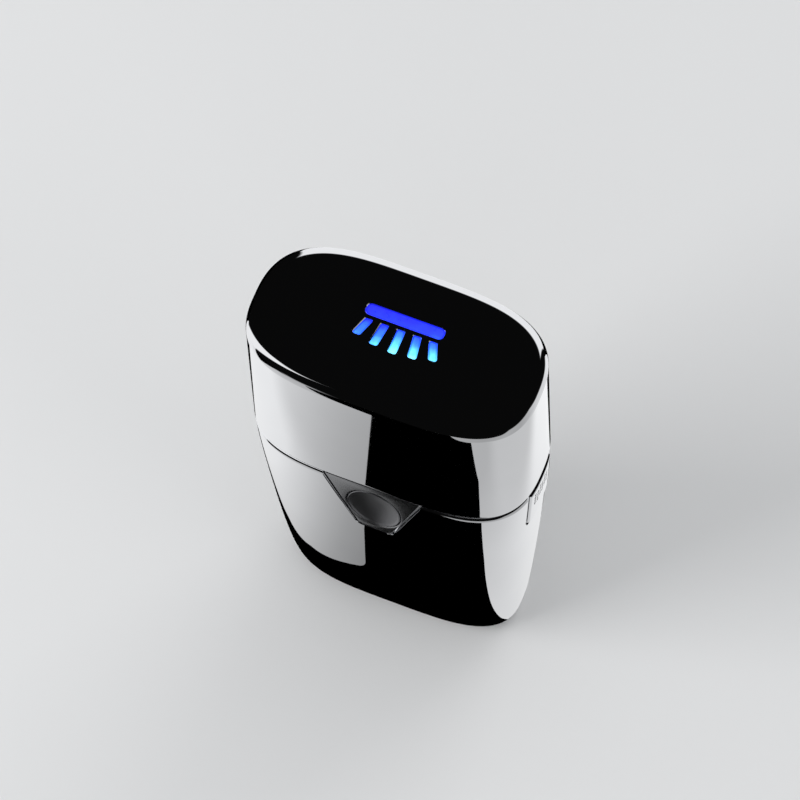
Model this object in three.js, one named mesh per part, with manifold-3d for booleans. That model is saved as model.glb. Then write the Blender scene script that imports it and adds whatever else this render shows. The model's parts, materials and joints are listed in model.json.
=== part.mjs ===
// Compact cordless foil shaver with a fitted UV disinfecting cap.
// Millimetres, +Z up, +X along the long side, front towards -Y, origin under the middle of the base.
import * as THREE from 'three';
import { mergeVertices } from 'three/addons/utils/BufferGeometryUtils.js';
import Module from 'manifold-3d';

const wasm = await Module();
wasm.setup();

// ---- driving dimensions ----
const HALF_W = 31.0;          // half width at the parting line
const HALF_D = 16.9;          // half depth at the parting line
const SEAM_Z = 81.0;          // parting line height at mid width
const END_DIP = 2.6;          // the parting line drops by this much at both ends
const TOP_Z = 120.8;          // top of the cap
const SEAM_GAP = 0.3;         // gap between body and cap
const PLAN_P = 3.7;           // plan superellipse exponents
const PLAN_Q = 2.6;
const N = 56;                 // points round an outline
const BODY_WALL = 2.2;
const CAP_WALL = 1.4;
const CAP_FILLET = 2.35;
const CAP_CROWN = 0.35;
const TOP_FRONT_SCALE = 0.913; // the cap's front wall leans back by this much at its top
const BASE_FILLET = 2.4;
const BASE_RISE = 0.5;        // metal bottom above the table, the pad fills it
const PANEL_TOP_HALF = 10.6;  // switch panel, trapezoid
const PANEL_BOTTOM_HALF = 3.6;
const PANEL_H = 22.0;
const PANEL_FACE_Y = -16.45;
const BUTTON_HALF_W = 5.85;
const BUTTON_HALF_H = 8.3;
const BUTTON_DROP = 11.4;     // button centre below the parting line
const BUTTON_TRAVEL = 0.8;
const RELEASE_HALF_W = 5.1;
const RELEASE_LOW_Z = 61.4;
const RELEASE_TRAVEL = 1.2;
const NECK_HALF_W = 27.0;
const NECK_HALF_D = 12.9;
const NECK_TOP_Z = 86.0;
const NECK_WALL = 1.6;
const LINER_TOP_Z = 112.0;
const MOTOR_R = 10.0;
const MOTOR_Y = 3.2;
const ECC = 1.0;              // eccentric throw
const FOIL_R = 4.7;
const FOIL_Y = 5.0;           // foil centre line from mid depth
const FOIL_HALF_L = 16.1;     // half length of the foil sheets
const FOIL_AXIS_Z = 98.6;
const GLYPH_HALF_W = 8.4;
const GLYPH_Y = 1.9;

// ---- helpers ----
const dip = (x) => END_DIP * (x / HALF_W) ** 2;

function plan(a, bf, bb, n = N) {
  const out = [];
  for (let i = 0; i < n; i++) {
    const t = (2 * Math.PI * i) / n;
    const c = Math.cos(t), s = Math.sin(t);
    const b = s < 0 ? bf : bb;
    out.push([a * Math.sign(c) * Math.abs(c) ** (2 / PLAN_P), b * Math.sign(s) * Math.abs(s) ** (2 / PLAN_Q)]);
  }
  out[0][1] = 0; out[n / 2][1] = 0;
  out[n / 4][0] = 0; out[(3 * n) / 4][0] = 0;
  return out;
}

// closed solid through rings of equal point count; ring = [[x, y, z], ...], end faces joined front to back
function loft(rings) {
  const n = rings[0].length, v = [], f = [];
  for (const r of rings) for (const p of r) v.push(p[0], p[1], p[2]);
  for (let k = 0; k + 1 < rings.length; k++)
    for (let i = 0; i < n; i++) {
      const j = (i + 1) % n, a = k * n + i, b = k * n + j, c = a + n, d = b + n;
      f.push(a, b, d, a, d, c);
    }
  const cap = (base, up) => {
    for (let i = 0; i < n / 2; i++) {
      const q = [i, i + 1, n - i - 1, (n - i) % n].map((k) => base + k);
      const t = [];
      if (i === 0) t.push([q[0], q[1], q[2]]);
      else if (i === n / 2 - 1) t.push([q[0], q[1], q[3]]);
      else t.push([q[0], q[1], q[2]], [q[0], q[2], q[3]]);
      for (const s of t) up ? f.push(s[0], s[1], s[2]) : f.push(s[0], s[2], s[1]);
    }
  };
  cap(0, false);
  cap((rings.length - 1) * n, true);
  const g = new THREE.BufferGeometry();
  g.setAttribute('position', new THREE.Float32BufferAttribute(v, 3));
  g.setIndex(f);
  return solid(g);
}

const ring = (a, bf, bb, z, drop = 0, n = N) => plan(a, bf, bb, n).map(([x, y]) => [x, y, z - drop * dip(x)]);

function solid(geometry) {
  const g0 = geometry.clone();
  g0.deleteAttribute('normal');
  g0.deleteAttribute('uv');
  const g = mergeVertices(g0, 1e-5);
  const idx = g.index.array, keep = [];
  for (let i = 0; i < idx.length; i += 3)
    if (idx[i] !== idx[i + 1] && idx[i + 1] !== idx[i + 2] && idx[i] !== idx[i + 2]) keep.push(idx[i], idx[i + 1], idx[i + 2]);
  return new wasm.Manifold(new wasm.Mesh({
    numProp: 3,
    vertProperties: new Float32Array(g.attributes.position.array),
    triVerts: new Uint32Array(keep),
  }));
}

const at = (g, x, y, z) => g.translate(x, y, z);
const box = (x0, x1, y0, y1, z0, z1) =>
  solid(at(new THREE.BoxGeometry(x1 - x0, y1 - y0, z1 - z0), (x0 + x1) / 2, (y0 + y1) / 2, (z0 + z1) / 2));
const cylZ = (r, z0, z1, x = 0, y = 0, seg = 24, r2 = r) =>
  solid(at(new THREE.CylinderGeometry(r2, r, z1 - z0, seg).rotateX(Math.PI / 2), x, y, (z0 + z1) / 2));
const cylX = (r, x0, x1, y = 0, z = 0, seg = 24) =>
  solid(at(new THREE.CylinderGeometry(r, r, x1 - x0, seg).rotateZ(Math.PI / 2), (x0 + x1) / 2, y, z));
const cylY = (r, y0, y1, x = 0, z = 0, seg = 24) =>
  solid(at(new THREE.CylinderGeometry(r, r, y1 - y0, seg), x, (y0 + y1) / 2, z));

// outline in the XZ plane (seen from the front), swept from y0 to y1
function prismY(points, y0, y1) {
  const s = new THREE.Shape(points.map(([x, z]) => new THREE.Vector2(x, z)));
  const g = new THREE.ExtrudeGeometry(s, { depth: y1 - y0, bevelEnabled: false });
  return solid(at(g.rotateX(Math.PI / 2), 0, y1, 0));
}
// outline in the XY plane (seen from above), swept from z0 to z1
function prismZ(points, z0, z1) {
  const s = new THREE.Shape(points.map(([x, y]) => new THREE.Vector2(x, y)));
  const g = new THREE.ExtrudeGeometry(s, { depth: z1 - z0, bevelEnabled: false });
  return solid(at(g, 0, 0, z0));
}
// outline in the YZ plane, swept from x0 to x1
function prismX(points, x0, x1) {
  const s = new THREE.Shape(points.map(([y, z]) => new THREE.Vector2(y, z)));
  const g = new THREE.ExtrudeGeometry(s, { depth: x1 - x0, bevelEnabled: false });
  return solid(at(g.rotateY(Math.PI / 2).rotateX(Math.PI / 2), x0, 0, 0));
}
function roundedPoly(corners, radii, seg = 4) {
  const out = [], m = corners.length;
  for (let i = 0; i < m; i++) {
    const p = new THREE.Vector2(...corners[i]);
    const a = new THREE.Vector2(...corners[(i + m - 1) % m]).sub(p).normalize();
    const b = new THREE.Vector2(...corners[(i + 1) % m]).sub(p).normalize();
    const r = radii[i], half = Math.acos(THREE.MathUtils.clamp(a.dot(b), -1, 1)) / 2;
    if (r <= 0) { out.push([p.x, p.y]); continue; }
    const d = r / Math.tan(half);
    const c = p.clone().add(a.clone().add(b).normalize().multiplyScalar(r / Math.sin(half)));
    const s0 = p.clone().addScaledVector(a, d).sub(c), s1 = p.clone().addScaledVector(b, d).sub(c);
    const a0 = Math.atan2(s0.y, s0.x);
    let da = Math.atan2(s1.y, s1.x) - a0;
    while (da > Math.PI) da -= 2 * Math.PI;
    while (da < -Math.PI) da += 2 * Math.PI;
    for (let k = 0; k <= seg; k++) out.push([c.x + r * Math.cos(a0 + (da * k) / seg), c.y + r * Math.sin(a0 + (da * k) / seg)]);
  }
  return out;
}
const rect = (w, h, r, cx = 0, cy = 0, seg = 4) =>
  roundedPoly([[cx - w / 2, cy - h / 2], [cx + w / 2, cy - h / 2], [cx + w / 2, cy + h / 2], [cx - w / 2, cy + h / 2]], [r, r, r, r], seg);

function oval(a, b, cx, cz, n = 40) {
  return Array.from({ length: n }, (_, i) => {
    const t = (2 * Math.PI * i) / n;
    return [cx + a * Math.cos(t), cz + b * Math.sin(t)];
  });
}
// stack of ovals along Y (front first), joined and closed
function ovalStack(sections, cz, n = 40) {
  const v = [], f = [];
  for (const [y, a, b] of sections) for (const [x, z] of oval(a, b, 0, cz, n)) v.push(x, y, z);
  const m = sections.length;
  for (let k = 0; k + 1 < m; k++)
    for (let i = 0; i < n; i++) {
      const j = (i + 1) % n, a = k * n + i, b = k * n + j;
      f.push(a, b, b + n, a, b + n, a + n);
    }
  const c0 = v.length / 3; v.push(0, sections[0][0] + (sections[0][3] ?? 0), cz);
  const c1 = c0 + 1; v.push(0, sections[m - 1][0], cz);
  for (let i = 0; i < n; i++) {
    const j = (i + 1) % n;
    f.push(c0, j, i, c1, (m - 1) * n + i, (m - 1) * n + j);
  }
  const g = new THREE.BufferGeometry();
  g.setAttribute('position', new THREE.Float32BufferAttribute(v, 3));
  g.setIndex(f);
  let s = solid(g);
  if (s.volume() < 0) {
    for (let i = 0; i < f.length; i += 3) [f[i + 1], f[i + 2]] = [f[i + 2], f[i + 1]];
    g.setIndex(f);
    s = solid(g);
  }
  return s;
}
const union = (...s) => s.reduce((a, b) => a.add(b));
const cut = (a, ...s) => s.reduce((x, y) => x.subtract(y), a);

const group = new THREE.Group();
function part(name, shape, color, roughness, metalness) {
  const m = shape.getMesh();
  const g = new THREE.BufferGeometry();
  g.setAttribute('position', new THREE.Float32BufferAttribute(m.vertProperties, 3));
  g.setIndex(Array.from(m.triVerts));
  g.computeVertexNormals();
  const mesh = new THREE.Mesh(g, new THREE.MeshStandardMaterial({ color, roughness, metalness }));
  mesh.name = name;
  group.add(mesh);
  return mesh;
}

// ---- outer form of the body ----
// t runs from 0 at the parting line to 1 at the table
const sideHalf = (t) => HALF_W * (1 - (Math.max(0, t) / 2.18) ** 1.08) ** 0.365;
const frontY = (t) => HALF_D - 4.2 * t * t - 2.95 * t ** 8;
const backY = (t) => HALF_D - 0.6 * t * t - 1.2 * t ** 8;
const dropAt = (z) => THREE.MathUtils.smoothstep(z, 45, 78);
function bodyRing(z, inset = 0, n = N) {
  const t = Math.max(0, 1 - z / SEAM_Z);
  return ring(sideHalf(t) - inset, frontY(t) - inset, backY(t) - inset, z, dropAt(z), n);
}

// body shell: one metal cup, open at the top
{
  const outer = [];
  const z0 = BASE_RISE;
  for (let k = 0; k <= 3; k++) {
    const a = (k / 3) * (Math.PI / 2);
    outer.push(bodyRing(z0 + BASE_FILLET * (1 - Math.cos(a)), BASE_FILLET * (1 - Math.sin(a))));
  }
  for (const z of [8, 15, 24, 35, 47, 59, 70, 76]) outer.push(bodyRing(z));
  const top = SEAM_Z - SEAM_GAP / 2;
  outer.push(bodyRing(top - 0.85));
  outer.push(bodyRing(top, 0.75));
  const inner = [2.6, 14, 38, 62, 74].map((z) => bodyRing(z, BODY_WALL, 40));
  inner.push(ring(HALF_W - BODY_WALL, HALF_D - BODY_WALL, HALF_D - BODY_WALL, SEAM_Z + 3, 0, 40));
  let shell = loft(outer).subtract(loft(inner));
  // seat of the switch panel and the button's hole
  const pz = SEAM_Z + 1;
  const g = 0.3;
  const seat = roundedPoly(
    [[-PANEL_BOTTOM_HALF - g, SEAM_Z - PANEL_H - g], [PANEL_BOTTOM_HALF + g, SEAM_Z - PANEL_H - g],
     [PANEL_TOP_HALF + 0.6 + g, pz], [-PANEL_TOP_HALF - 0.6 - g, pz]], [1.8, 1.8, 0, 0]);
  shell = cut(shell,
    prismY(seat, -20, -15.35),
    prismY(oval(BUTTON_HALF_W + 0.35, BUTTON_HALF_H + 0.35, 0, SEAM_Z - BUTTON_DROP), -20, -12),
    // windows of the two release buttons, open to the top edge
    box(-34, -26, -RELEASE_HALF_W - 0.3, RELEASE_HALF_W + 0.3, RELEASE_LOW_Z - 0.3, 84),
    box(26, 34, -RELEASE_HALF_W - 0.3, RELEASE_HALF_W + 0.3, RELEASE_LOW_Z - 0.3, 84),
    // base: pad pocket, charging socket, charge light
    loft([ring(20.9, 5.2, 10.8, 0, 0, 32), ring(20.9, 5.2, 10.8, 1.3, 0, 32)].map((r) => r.map(([x, y, z]) => [x, y, z]))),
    prismZ(rect(9.9, 4.3, 2.1, 0, 2.6), -1, 4),
    cylZ(1.3, -1, 4, 11, 2.6, 16));
  part('body_shell', shell, 0xd5d7da, 0.06, 1.0);
}

// base pad with its two openings
part('base_pad', cut(
  loft([ring(20.3, 4.6, 10.2, 0, 0, 32), ring(20.6, 4.9, 10.5, 0.3, 0, 32), ring(20.6, 4.9, 10.5, 1.1, 0, 32)]),
  prismZ(rect(9.9, 4.3, 2.1, 0, 2.6), -1, 4), cylZ(1.3, -1, 4, 11, 2.6, 16)), 0x17181a, 0.75, 0);

// charging socket: metal tube with a contact tongue
part('charge_socket', cut(union(
  cut(prismZ(rect(9.3, 3.7, 1.8, 0, 2.6), 0.7, 8.6), prismZ(rect(8.5, 2.9, 1.4, 0, 2.6), 0, 7.6)),
  box(-3.2, 3.2, 2.25, 2.95, 2.2, 8.0))), 0xb9bcc0, 0.3, 1);
part('charge_light_pipe', cylZ(1.0, 0.5, 6.4, 11, 2.6, 16), 0xdfe8ee, 0.25, 0);
part('charge_led', box(9.9, 12.1, 1.8, 3.4, 6.7, 7.8), 0xf2f2e6, 0.4, 0);
part('charge_board', cut(box(-9, 15, -2.6, 8.0, 8.9, 9.9), box(-6, 6, -3, -1.4, 8, 11)), 0x174a2c, 0.5, 0);

// switch panel
{
  const z0 = SEAM_Z - PANEL_H;
  const out = roundedPoly([[-PANEL_BOTTOM_HALF, z0], [PANEL_BOTTOM_HALF, z0],
    [PANEL_TOP_HALF, SEAM_Z - 0.45], [-PANEL_TOP_HALF, SEAM_Z - 0.45]], [1.6, 1.6, 0.3, 0.3]);
  part('switch_panel', cut(prismY(out, PANEL_FACE_Y, -15.6),
    prismY(oval(BUTTON_HALF_W + 0.3, BUTTON_HALF_H + 0.3, 0, SEAM_Z - BUTTON_DROP), -20, -12)), 0x4b4c50, 0.55, 0.1);
}

// dished power button with its retaining flange and plunger
part('power_button', ovalStack([
  [-15.35, BUTTON_HALF_W * 0.35, BUTTON_HALF_H * 0.35, 0.15],
  [-15.75, BUTTON_HALF_W * 0.62, BUTTON_HALF_H * 0.62],
  [-16.3, BUTTON_HALF_W * 0.86, BUTTON_HALF_H * 0.86],
  [-16.62, BUTTON_HALF_W * 0.96, BUTTON_HALF_H * 0.96],
  [-16.5, BUTTON_HALF_W, BUTTON_HALF_H],
  [-14.15, BUTTON_HALF_W, BUTTON_HALF_H],
  [-14.15, BUTTON_HALF_W + 1.1, BUTTON_HALF_H + 1.1],
  [-13.25, BUTTON_HALF_W + 1.1, BUTTON_HALF_H + 1.1],
  [-13.25, 1.6, 1.6],
  [-12.5, 1.5, 1.5]], SEAM_Z - BUTTON_DROP, 28), 0x6a6b6f, 0.38, 0.6);

part('tact_switch', union(box(-3.1, 3.1, -10.7, -9.4, SEAM_Z - BUTTON_DROP - 3.1, SEAM_Z - BUTTON_DROP + 3.1),
  cylY(1.6, -11.5, -10.6, 0, SEAM_Z - BUTTON_DROP, 20)), 0x1b1b1d, 0.5, 0);
part('button_seal', cut(
  prismY(oval(4.4, 5.2, 0, SEAM_Z - BUTTON_DROP, 28), -12.15, -11.7),
  prismY(oval(2.4, 2.4, 0, SEAM_Z - BUTTON_DROP, 24), -13, -11)), 0x2a2a2c, 0.8, 0);

// main board with chip and coil
part('main_pcb', cut(box(-15, 15, -9.2, -8.2, 36.5, 74.0), cylY(1.2, -12, -6, -12.5, 40, 12), cylY(1.2, -12, -6, 12.5, 40, 12)), 0x174a2c, 0.5, 0);
part('control_chip', box(-3.5, 3.5, -10.3, -9.3, 46, 53), 0x121214, 0.45, 0);
part('charge_coil', cut(cylY(3.2, -11.6, -9.3, 9, 48, 24), cylY(1.0, -12, -10, 9, 48, 16)), 0x6b3d22, 0.6, 0.2);

// release buttons: outer plate, retaining flange, finger that pushes the latch leaf
for (const s of [-1, 1]) {
  const zt = SEAM_Z - END_DIP - 0.45;
  const side = (z) => sideHalf(1 - z / SEAM_Z);
  const zl = RELEASE_LOW_Z;
  const w = RELEASE_HALF_W;
  const prof = (inset, dx) => {
    const zs = [zl + inset, zl + 4.4, zl + 8.8, zt - inset];
    return zs.map((z) => [s * (side(z) + dx), z]);
  };
  // plate: a slab with bevelled rim whose face follows the end of the body
  const slab = (inset, dx, half) => {
    const p = prof(inset, dx);
    const outline = [[s * 28.6, zl + inset], ...p, [s * 28.6, zt - inset]];
    return prismY(outline, -half, half);
  };
  const plate = union(slab(0, -0.35, w), slab(0.55, 0.12, w - 0.55));
  const flange = union(box(Math.min(s * 28.8, s * 26.5), Math.max(s * 28.8, s * 26.5), -w + 0.6, w - 0.6, zl + 0.6, 73.6),
    box(Math.min(s * 26.6, s * 26.1), Math.max(s * 26.6, s * 26.1), -5.9, 5.9, zl - 0.8, 73.6));
  part(s < 0 ? 'release_button_left' : 'release_button_right', union(plate, flange), 0xcfd1d4, 0.12, 1);
  // latch leaf inside the neck; its nose rests beside the groove of the foil head's skirt
  const q = (a, b) => [Math.min(s * a, s * b), Math.max(s * a, s * b)];
  const [l0, l1] = q(24.35, 24.75), [n0, n1] = q(23.95, 24.4), [f0, f1] = q(23.2, 24.4);
  part(s < 0 ? 'latch_leaf_left' : 'latch_leaf_right', union(
    box(l0, l1, -2.4, 2.4, 66.5, 84.6), box(n0, n1, -2.0, 2.0, 83.2, 84.2), box(f0, f1, -2.4, 2.4, 66.5, 67.0)), 0xb8bbbf, 0.28, 1);
}

// chassis: rails, floor, motor shelf
{
  const rail = (s) => box(Math.min(s * 18.6, s * 21.2), Math.max(s * 18.6, s * 21.2), -4, 6, 10.4, 74.2);
  let c = union(rail(-1), rail(1),
    box(-21.2, 21.2, -4, 6, 10.4, 11.9),
    box(-21.2, 21.2, -6.8, 10.5, 33.8, 35.6),
    box(-21.2, 21.2, -7.2, 11.9, 72.2, 74.2));
  c = cut(c, cylZ(MOTOR_R - 4.0, 70, 76, 0, MOTOR_Y, 28),
    cylX(9.3, -18.2, 18.2, 1.2, 22.6, 32),
    ...[-1, 1].flatMap((s) => [cylZ(0.95, 66, 76, s * 19.9, -2.3, 12), cylZ(0.95, 66, 76, s * 19.9, 4.3, 12)]));
  part('chassis', c, 0x232427, 0.6, 0);
}

// battery lying across the lower body, with end tabs and insulator
part('battery_cell', union(cylX(9.0, -17.3, 17.0, 1.2, 22.6, 32), cylX(3.0, 16.9, 17.6, 1.2, 22.6, 20)), 0x1f5fa8, 0.35, 0.1);
part('battery_insulator', cut(cylX(8.6, 17.15, 17.45, 1.2, 22.6, 28), cylX(3.4, 17, 18, 1.2, 22.6, 20)), 0xe9e6da, 0.8, 0);
part('battery_tab_positive', box(17.75, 18.05, -0.8, 3.2, 20.4, 31.0), 0xc6c9cc, 0.3, 1);
part('battery_tab_negative', box(-18.05, -17.6, -0.8, 3.2, 20.4, 31.0), 0xc6c9cc, 0.3, 1);

// motor
part('motor_can', cut(cylZ(MOTOR_R, 42.0, 71.8, 0, MOTOR_Y, 36), cylZ(MOTOR_R - 0.9, 40, 70.2, 0, MOTOR_Y, 36), cylZ(1.6, 60, 75, 0, MOTOR_Y, 20)), 0xb4b7bb, 0.3, 1);
part('motor_end_cap', union(cut(cylZ(MOTOR_R - 1.2, 40.6, 44.0, 0, MOTOR_Y, 32), cylZ(1.6, 43, 45, 0, MOTOR_Y, 20)),
  cylZ(MOTOR_R - 0.2, 39.6, 41.7, 0, MOTOR_Y, 36)), 0x2a2b2e, 0.55, 0);
part('motor_shaft', union(cylZ(1.1, 43.4, 77.5, 0, MOTOR_Y, 20), cylZ(8.0, 48, 66, 0, MOTOR_Y, 28)), 0x9fa2a6, 0.25, 1);
part('drive_eccentric', cut(union(cylZ(4.2, 74.8, 78.0, 0, MOTOR_Y, 28), cylZ(1.1, 77.9, 83.2, ECC, MOTOR_Y, 18)), cylZ(1.4, 74, 77.7, 0, MOTOR_Y, 20)), 0xd8d9da, 0.4, 0);

// top deck: flange, neck tube, bulkhead with screw bosses
{
  const flange = loft([ring(28.4, 14.3, 14.3, 74.5, 0, 40), ring(28.4, 14.3, 14.3, 77.4, 0, 40)]);
  const neck = loft([ring(NECK_HALF_W, NECK_HALF_D, NECK_HALF_D, 77, 0, 40), ring(NECK_HALF_W, NECK_HALF_D, NECK_HALF_D, NECK_TOP_Z - 0.6, 0, 40), ring(NECK_HALF_W - 0.6, NECK_HALF_D - 0.6, NECK_HALF_D - 0.6, NECK_TOP_Z, 0, 40)]);
  const bore = loft([ring(NECK_HALF_W - NECK_WALL, NECK_HALF_D - NECK_WALL, NECK_HALF_D - NECK_WALL, 80.6, 0, 40), ring(NECK_HALF_W - NECK_WALL, NECK_HALF_D - NECK_WALL, NECK_HALF_D - NECK_WALL, 90, 0, 40)]);
  const under = box(-17, 17, -9.5, 9.5, 74, 78.9);
  const groove = cut(loft([ring(28, 14, 14, 81.75, 0, 40), ring(28, 14, 14, 83.05, 0, 40)]), loft([ring(26.2, 12.1, 12.1, 81, 0, 40), ring(26.2, 12.1, 12.1, 84, 0, 40)]));
  const d = cut(union(flange, neck), bore, under, groove,
    box(-8.5, 8.5, -4.5, 10.4, 70, 85),
    box(-25.3, -24.0, -2.8, 2.8, 70, 85), box(24.0, 25.3, -2.8, 2.8, 70, 85),
    // seats under the power board and pockets of the contact pins
    cylZ(0.7, 76.2, 80, -6, 13.6, 16), cylZ(0.7, 76.2, 80, 6, 13.6, 16),
    box(-8, 8, -16, -10.9, 70, 77.6), box(-8, 8, -16, -12.1, 77, 79.6),
    box(-29, -27.1, -RELEASE_HALF_W - 0.6, RELEASE_HALF_W + 0.6, 74, 78), box(27.1, 29, -RELEASE_HALF_W - 0.6, RELEASE_HALF_W + 0.6, 74, 78),
    ...[-1, 1].flatMap((s) => [[s * 19.9, -2.3], [s * 19.9, 4.3]].flatMap(([x, y]) => [cylZ(1.15, 70, 85, x, y, 16)])));
  part('top_deck', d, 0x1c1d1f, 0.5, 0);
}
{
  let k = 1;
  for (const s of [-1, 1]) for (const y of [-2.3, 4.3])
    part(`deck_screw_${k++}`, cut(union(cylZ(1.9, 80.75, 82.0, s * 19.9, y, 18), cylZ(0.85, 68, 80.8, s * 19.9, y, 14)),
      box(s * 19.9 - 1.2, s * 19.9 + 1.2, y - 0.22, y + 0.22, 81.4, 83), box(s * 19.9 - 0.22, s * 19.9 + 0.22, y - 1.2, y + 1.2, 81.4, 83)), 0xa9adb1, 0.3, 1);
}
// soft ring in the neck's groove, which holds the cap by friction
part('neck_seal', cut(loft([ring(27.2, 13.1, 13.1, 81.95, 0, 40), ring(27.2, 13.1, 13.1, 82.85, 0, 40)]),
  loft([ring(26.4, 12.3, 12.3, 81, 0, 40), ring(26.4, 12.3, 12.3, 84, 0, 40)])), 0x202022, 0.8, 0);
for (const s of [-1, 1]) part(s < 0 ? 'contact_pin_left' : 'contact_pin_right', cylZ(0.6, 76.3, 81.0, s * 6, 13.6, 16), 0xd2a63c, 0.25, 1);

// drive bracket with its slot, two carriers and guide posts
{
  const slot = prismZ(rect(7.2, 4.9, 1.4, 0, MOTOR_Y), 78, 88);
  let b = union(box(-7.2, 7.2, -3.6, 9.4, 81.2, 84.4), box(-5.0, 5.0, -3.0, 3.0, 84.2, 87.2), box(-15.5, 15.5, -7.4, 7.4, 86.8, 88.6));
  b = cut(b, slot, box(-4.2, 4.2, 1.0, 5.4, 84.0, 86.0));
  const posts = [];
  for (const x of [-11, 11]) for (const y of [-FOIL_Y, FOIL_Y]) posts.push(cylZ(1.0, 88.4, 92.2, x, y, 14));
  part('drive_bracket', union(b, ...posts), 0xe8e8e4, 0.5, 0);
}
// helical springs round the posts
{
  let k = 1;
  for (const y of [-FOIL_Y, FOIL_Y]) for (const x of [-11, 11]) {
    const z0 = 88.9, z1 = 91.7, turns = 3, r = 1.55;
    class Helix extends THREE.Curve {
      getPoint(t, target = new THREE.Vector3()) {
        const a = 2 * Math.PI * turns * t;
        return target.set(x + r * Math.cos(a), y + r * Math.sin(a), z0 + 0.2 + (z1 - z0 - 0.4) * t);
      }
    }
    const sec = new THREE.Shape(Array.from({ length: 4 }, (_, i) => new THREE.Vector2(0.18 * Math.cos((2 * Math.PI * i) / 4), 0.18 * Math.sin((2 * Math.PI * i) / 4))));
    part(`cutter_spring_${k++}`, solid(new THREE.ExtrudeGeometry(sec, { steps: 32, extrudePath: new Helix(), bevelEnabled: false })), 0xc0c3c6, 0.3, 1);
  }
}
// cutters: carrier bar with a row of arched blades
for (const s of [-1, 1]) {
  const y = s * FOIL_Y;
  let c = union(box(-15.0, 15.0, y - 2.6, y + 2.6, 91.95, 94.6));
  c = cut(c, cylZ(1.3, 91, 93.9, -11, y, 14), cylZ(1.3, 91, 93.9, 11, y, 14));
  const r = FOIL_R - 0.65;
  const blades = [];
  for (let i = 0; i < 13; i++) {
    const x = -14.4 + i * 2.4;
    const pts = [[y - 2.2, 94.2], [y + 2.2, 94.2]];
    for (let k = 0; k <= 7; k++) { const a = (-15 + (210 * k) / 7) * Math.PI / 180; pts.push([y + r * Math.cos(a), FOIL_AXIS_Z + r * Math.sin(a)]); }
    blades.push(prismX(pts, x - 0.35, x + 0.35));
  }
  part(s < 0 ? 'cutter_front' : 'cutter_rear', union(c, ...blades), 0xc4c7ca, 0.25, 1);
}

// foil head frame: rim, inner skirt, window for the two foil carriers
{
  const A = 26.5, B = 12.4;
  let h = union(
    loft([ring(A, B, B, 86.35, 0, 40), ring(A, B, B, 95.4, 0, 40), ring(A - 0.5, B - 0.5, B - 0.5, 96.6, 0, 40), ring(A - 1.6, B - 1.4, B - 1.4, 97.2, 0, 40)]),
    loft([ring(23.6, 10.7, 10.7, 82.4, 0, 40), ring(23.6, 10.7, 10.7, 87, 0, 40)]));
  h = cut(h, loft([ring(22.4, 9.5, 9.5, 80, 0, 40), ring(22.4, 9.5, 9.5, 89.2, 0, 40)]),
    prismZ(rect(39.4, 20.1, 1.0, 0, 0), 89.0, 99),
    box(-24.2, -23.2, -2.6, 2.6, 82.8, 84.6), box(23.2, 24.2, -2.6, 2.6, 82.8, 84.6));
  part('head_frame', h, 0x27282b, 0.35, 0.3);
}
// foils and their carriers
for (const s of [-1, 1]) {
  const y = s * FOIL_Y, tag = s < 0 ? 'front' : 'rear';
  const arc = (r, drop) => {
    const p = [];
    for (let k = 0; k <= 14; k++) { const a = (180 * k) / 14 * Math.PI / 180; p.push([y + r * Math.cos(a), FOIL_AXIS_Z + r * Math.sin(a)]); }
    return p;
  };
  const o = arc(FOIL_R), i = arc(FOIL_R - 0.3).reverse();
  const sheet = [[y + FOIL_R, 95.3], ...o, [y - FOIL_R, 95.3], [y - FOIL_R + 0.3, 95.3], ...i, [y + FOIL_R - 0.3, 95.3]];
  part(`foil_${tag}`, prismX(sheet, -FOIL_HALF_L, FOIL_HALF_L), 0xc9a254, 0.3, 1);
  // end caps joined by two low rails
  const endPts = [[y - 4.7, 91.2], [y + 4.7, 91.2], [y + 4.7, 97.6]];
  for (let k = 0; k <= 8; k++) { const a = (180 * k) / 8 * Math.PI / 180; endPts.push([y + 4.4 * Math.cos(a), FOIL_AXIS_Z + 4.6 * Math.sin(a)]); }
  endPts.push([y - 4.7, 97.6]);
  const xe = FOIL_HALF_L - 0.2;
  part(`foil_carrier_${tag}`, union(
    prismX(endPts, xe + 0.4, xe + 3.2), prismX(endPts, -xe - 3.2, -xe - 0.4),
    box(-xe - 1, xe + 1, y - 4.7, y - 4.2, 91.2, 95.0), box(-xe - 1, xe + 1, y + 4.2, y + 4.7, 91.2, 95.0)), 0x3a3b3e, 0.4, 0.2);
}

// ---- cap ----
const frontScale = (z) => 1 - (1 - TOP_FRONT_SCALE) * THREE.MathUtils.clamp((z - SEAM_Z) / (TOP_Z - SEAM_Z), 0, 1);
const capRing = (z, inset = 0, drop = 0, n = N) => ring(HALF_W - inset, HALF_D * frontScale(z) - inset, HALF_D - inset, z, drop, n);
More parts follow.
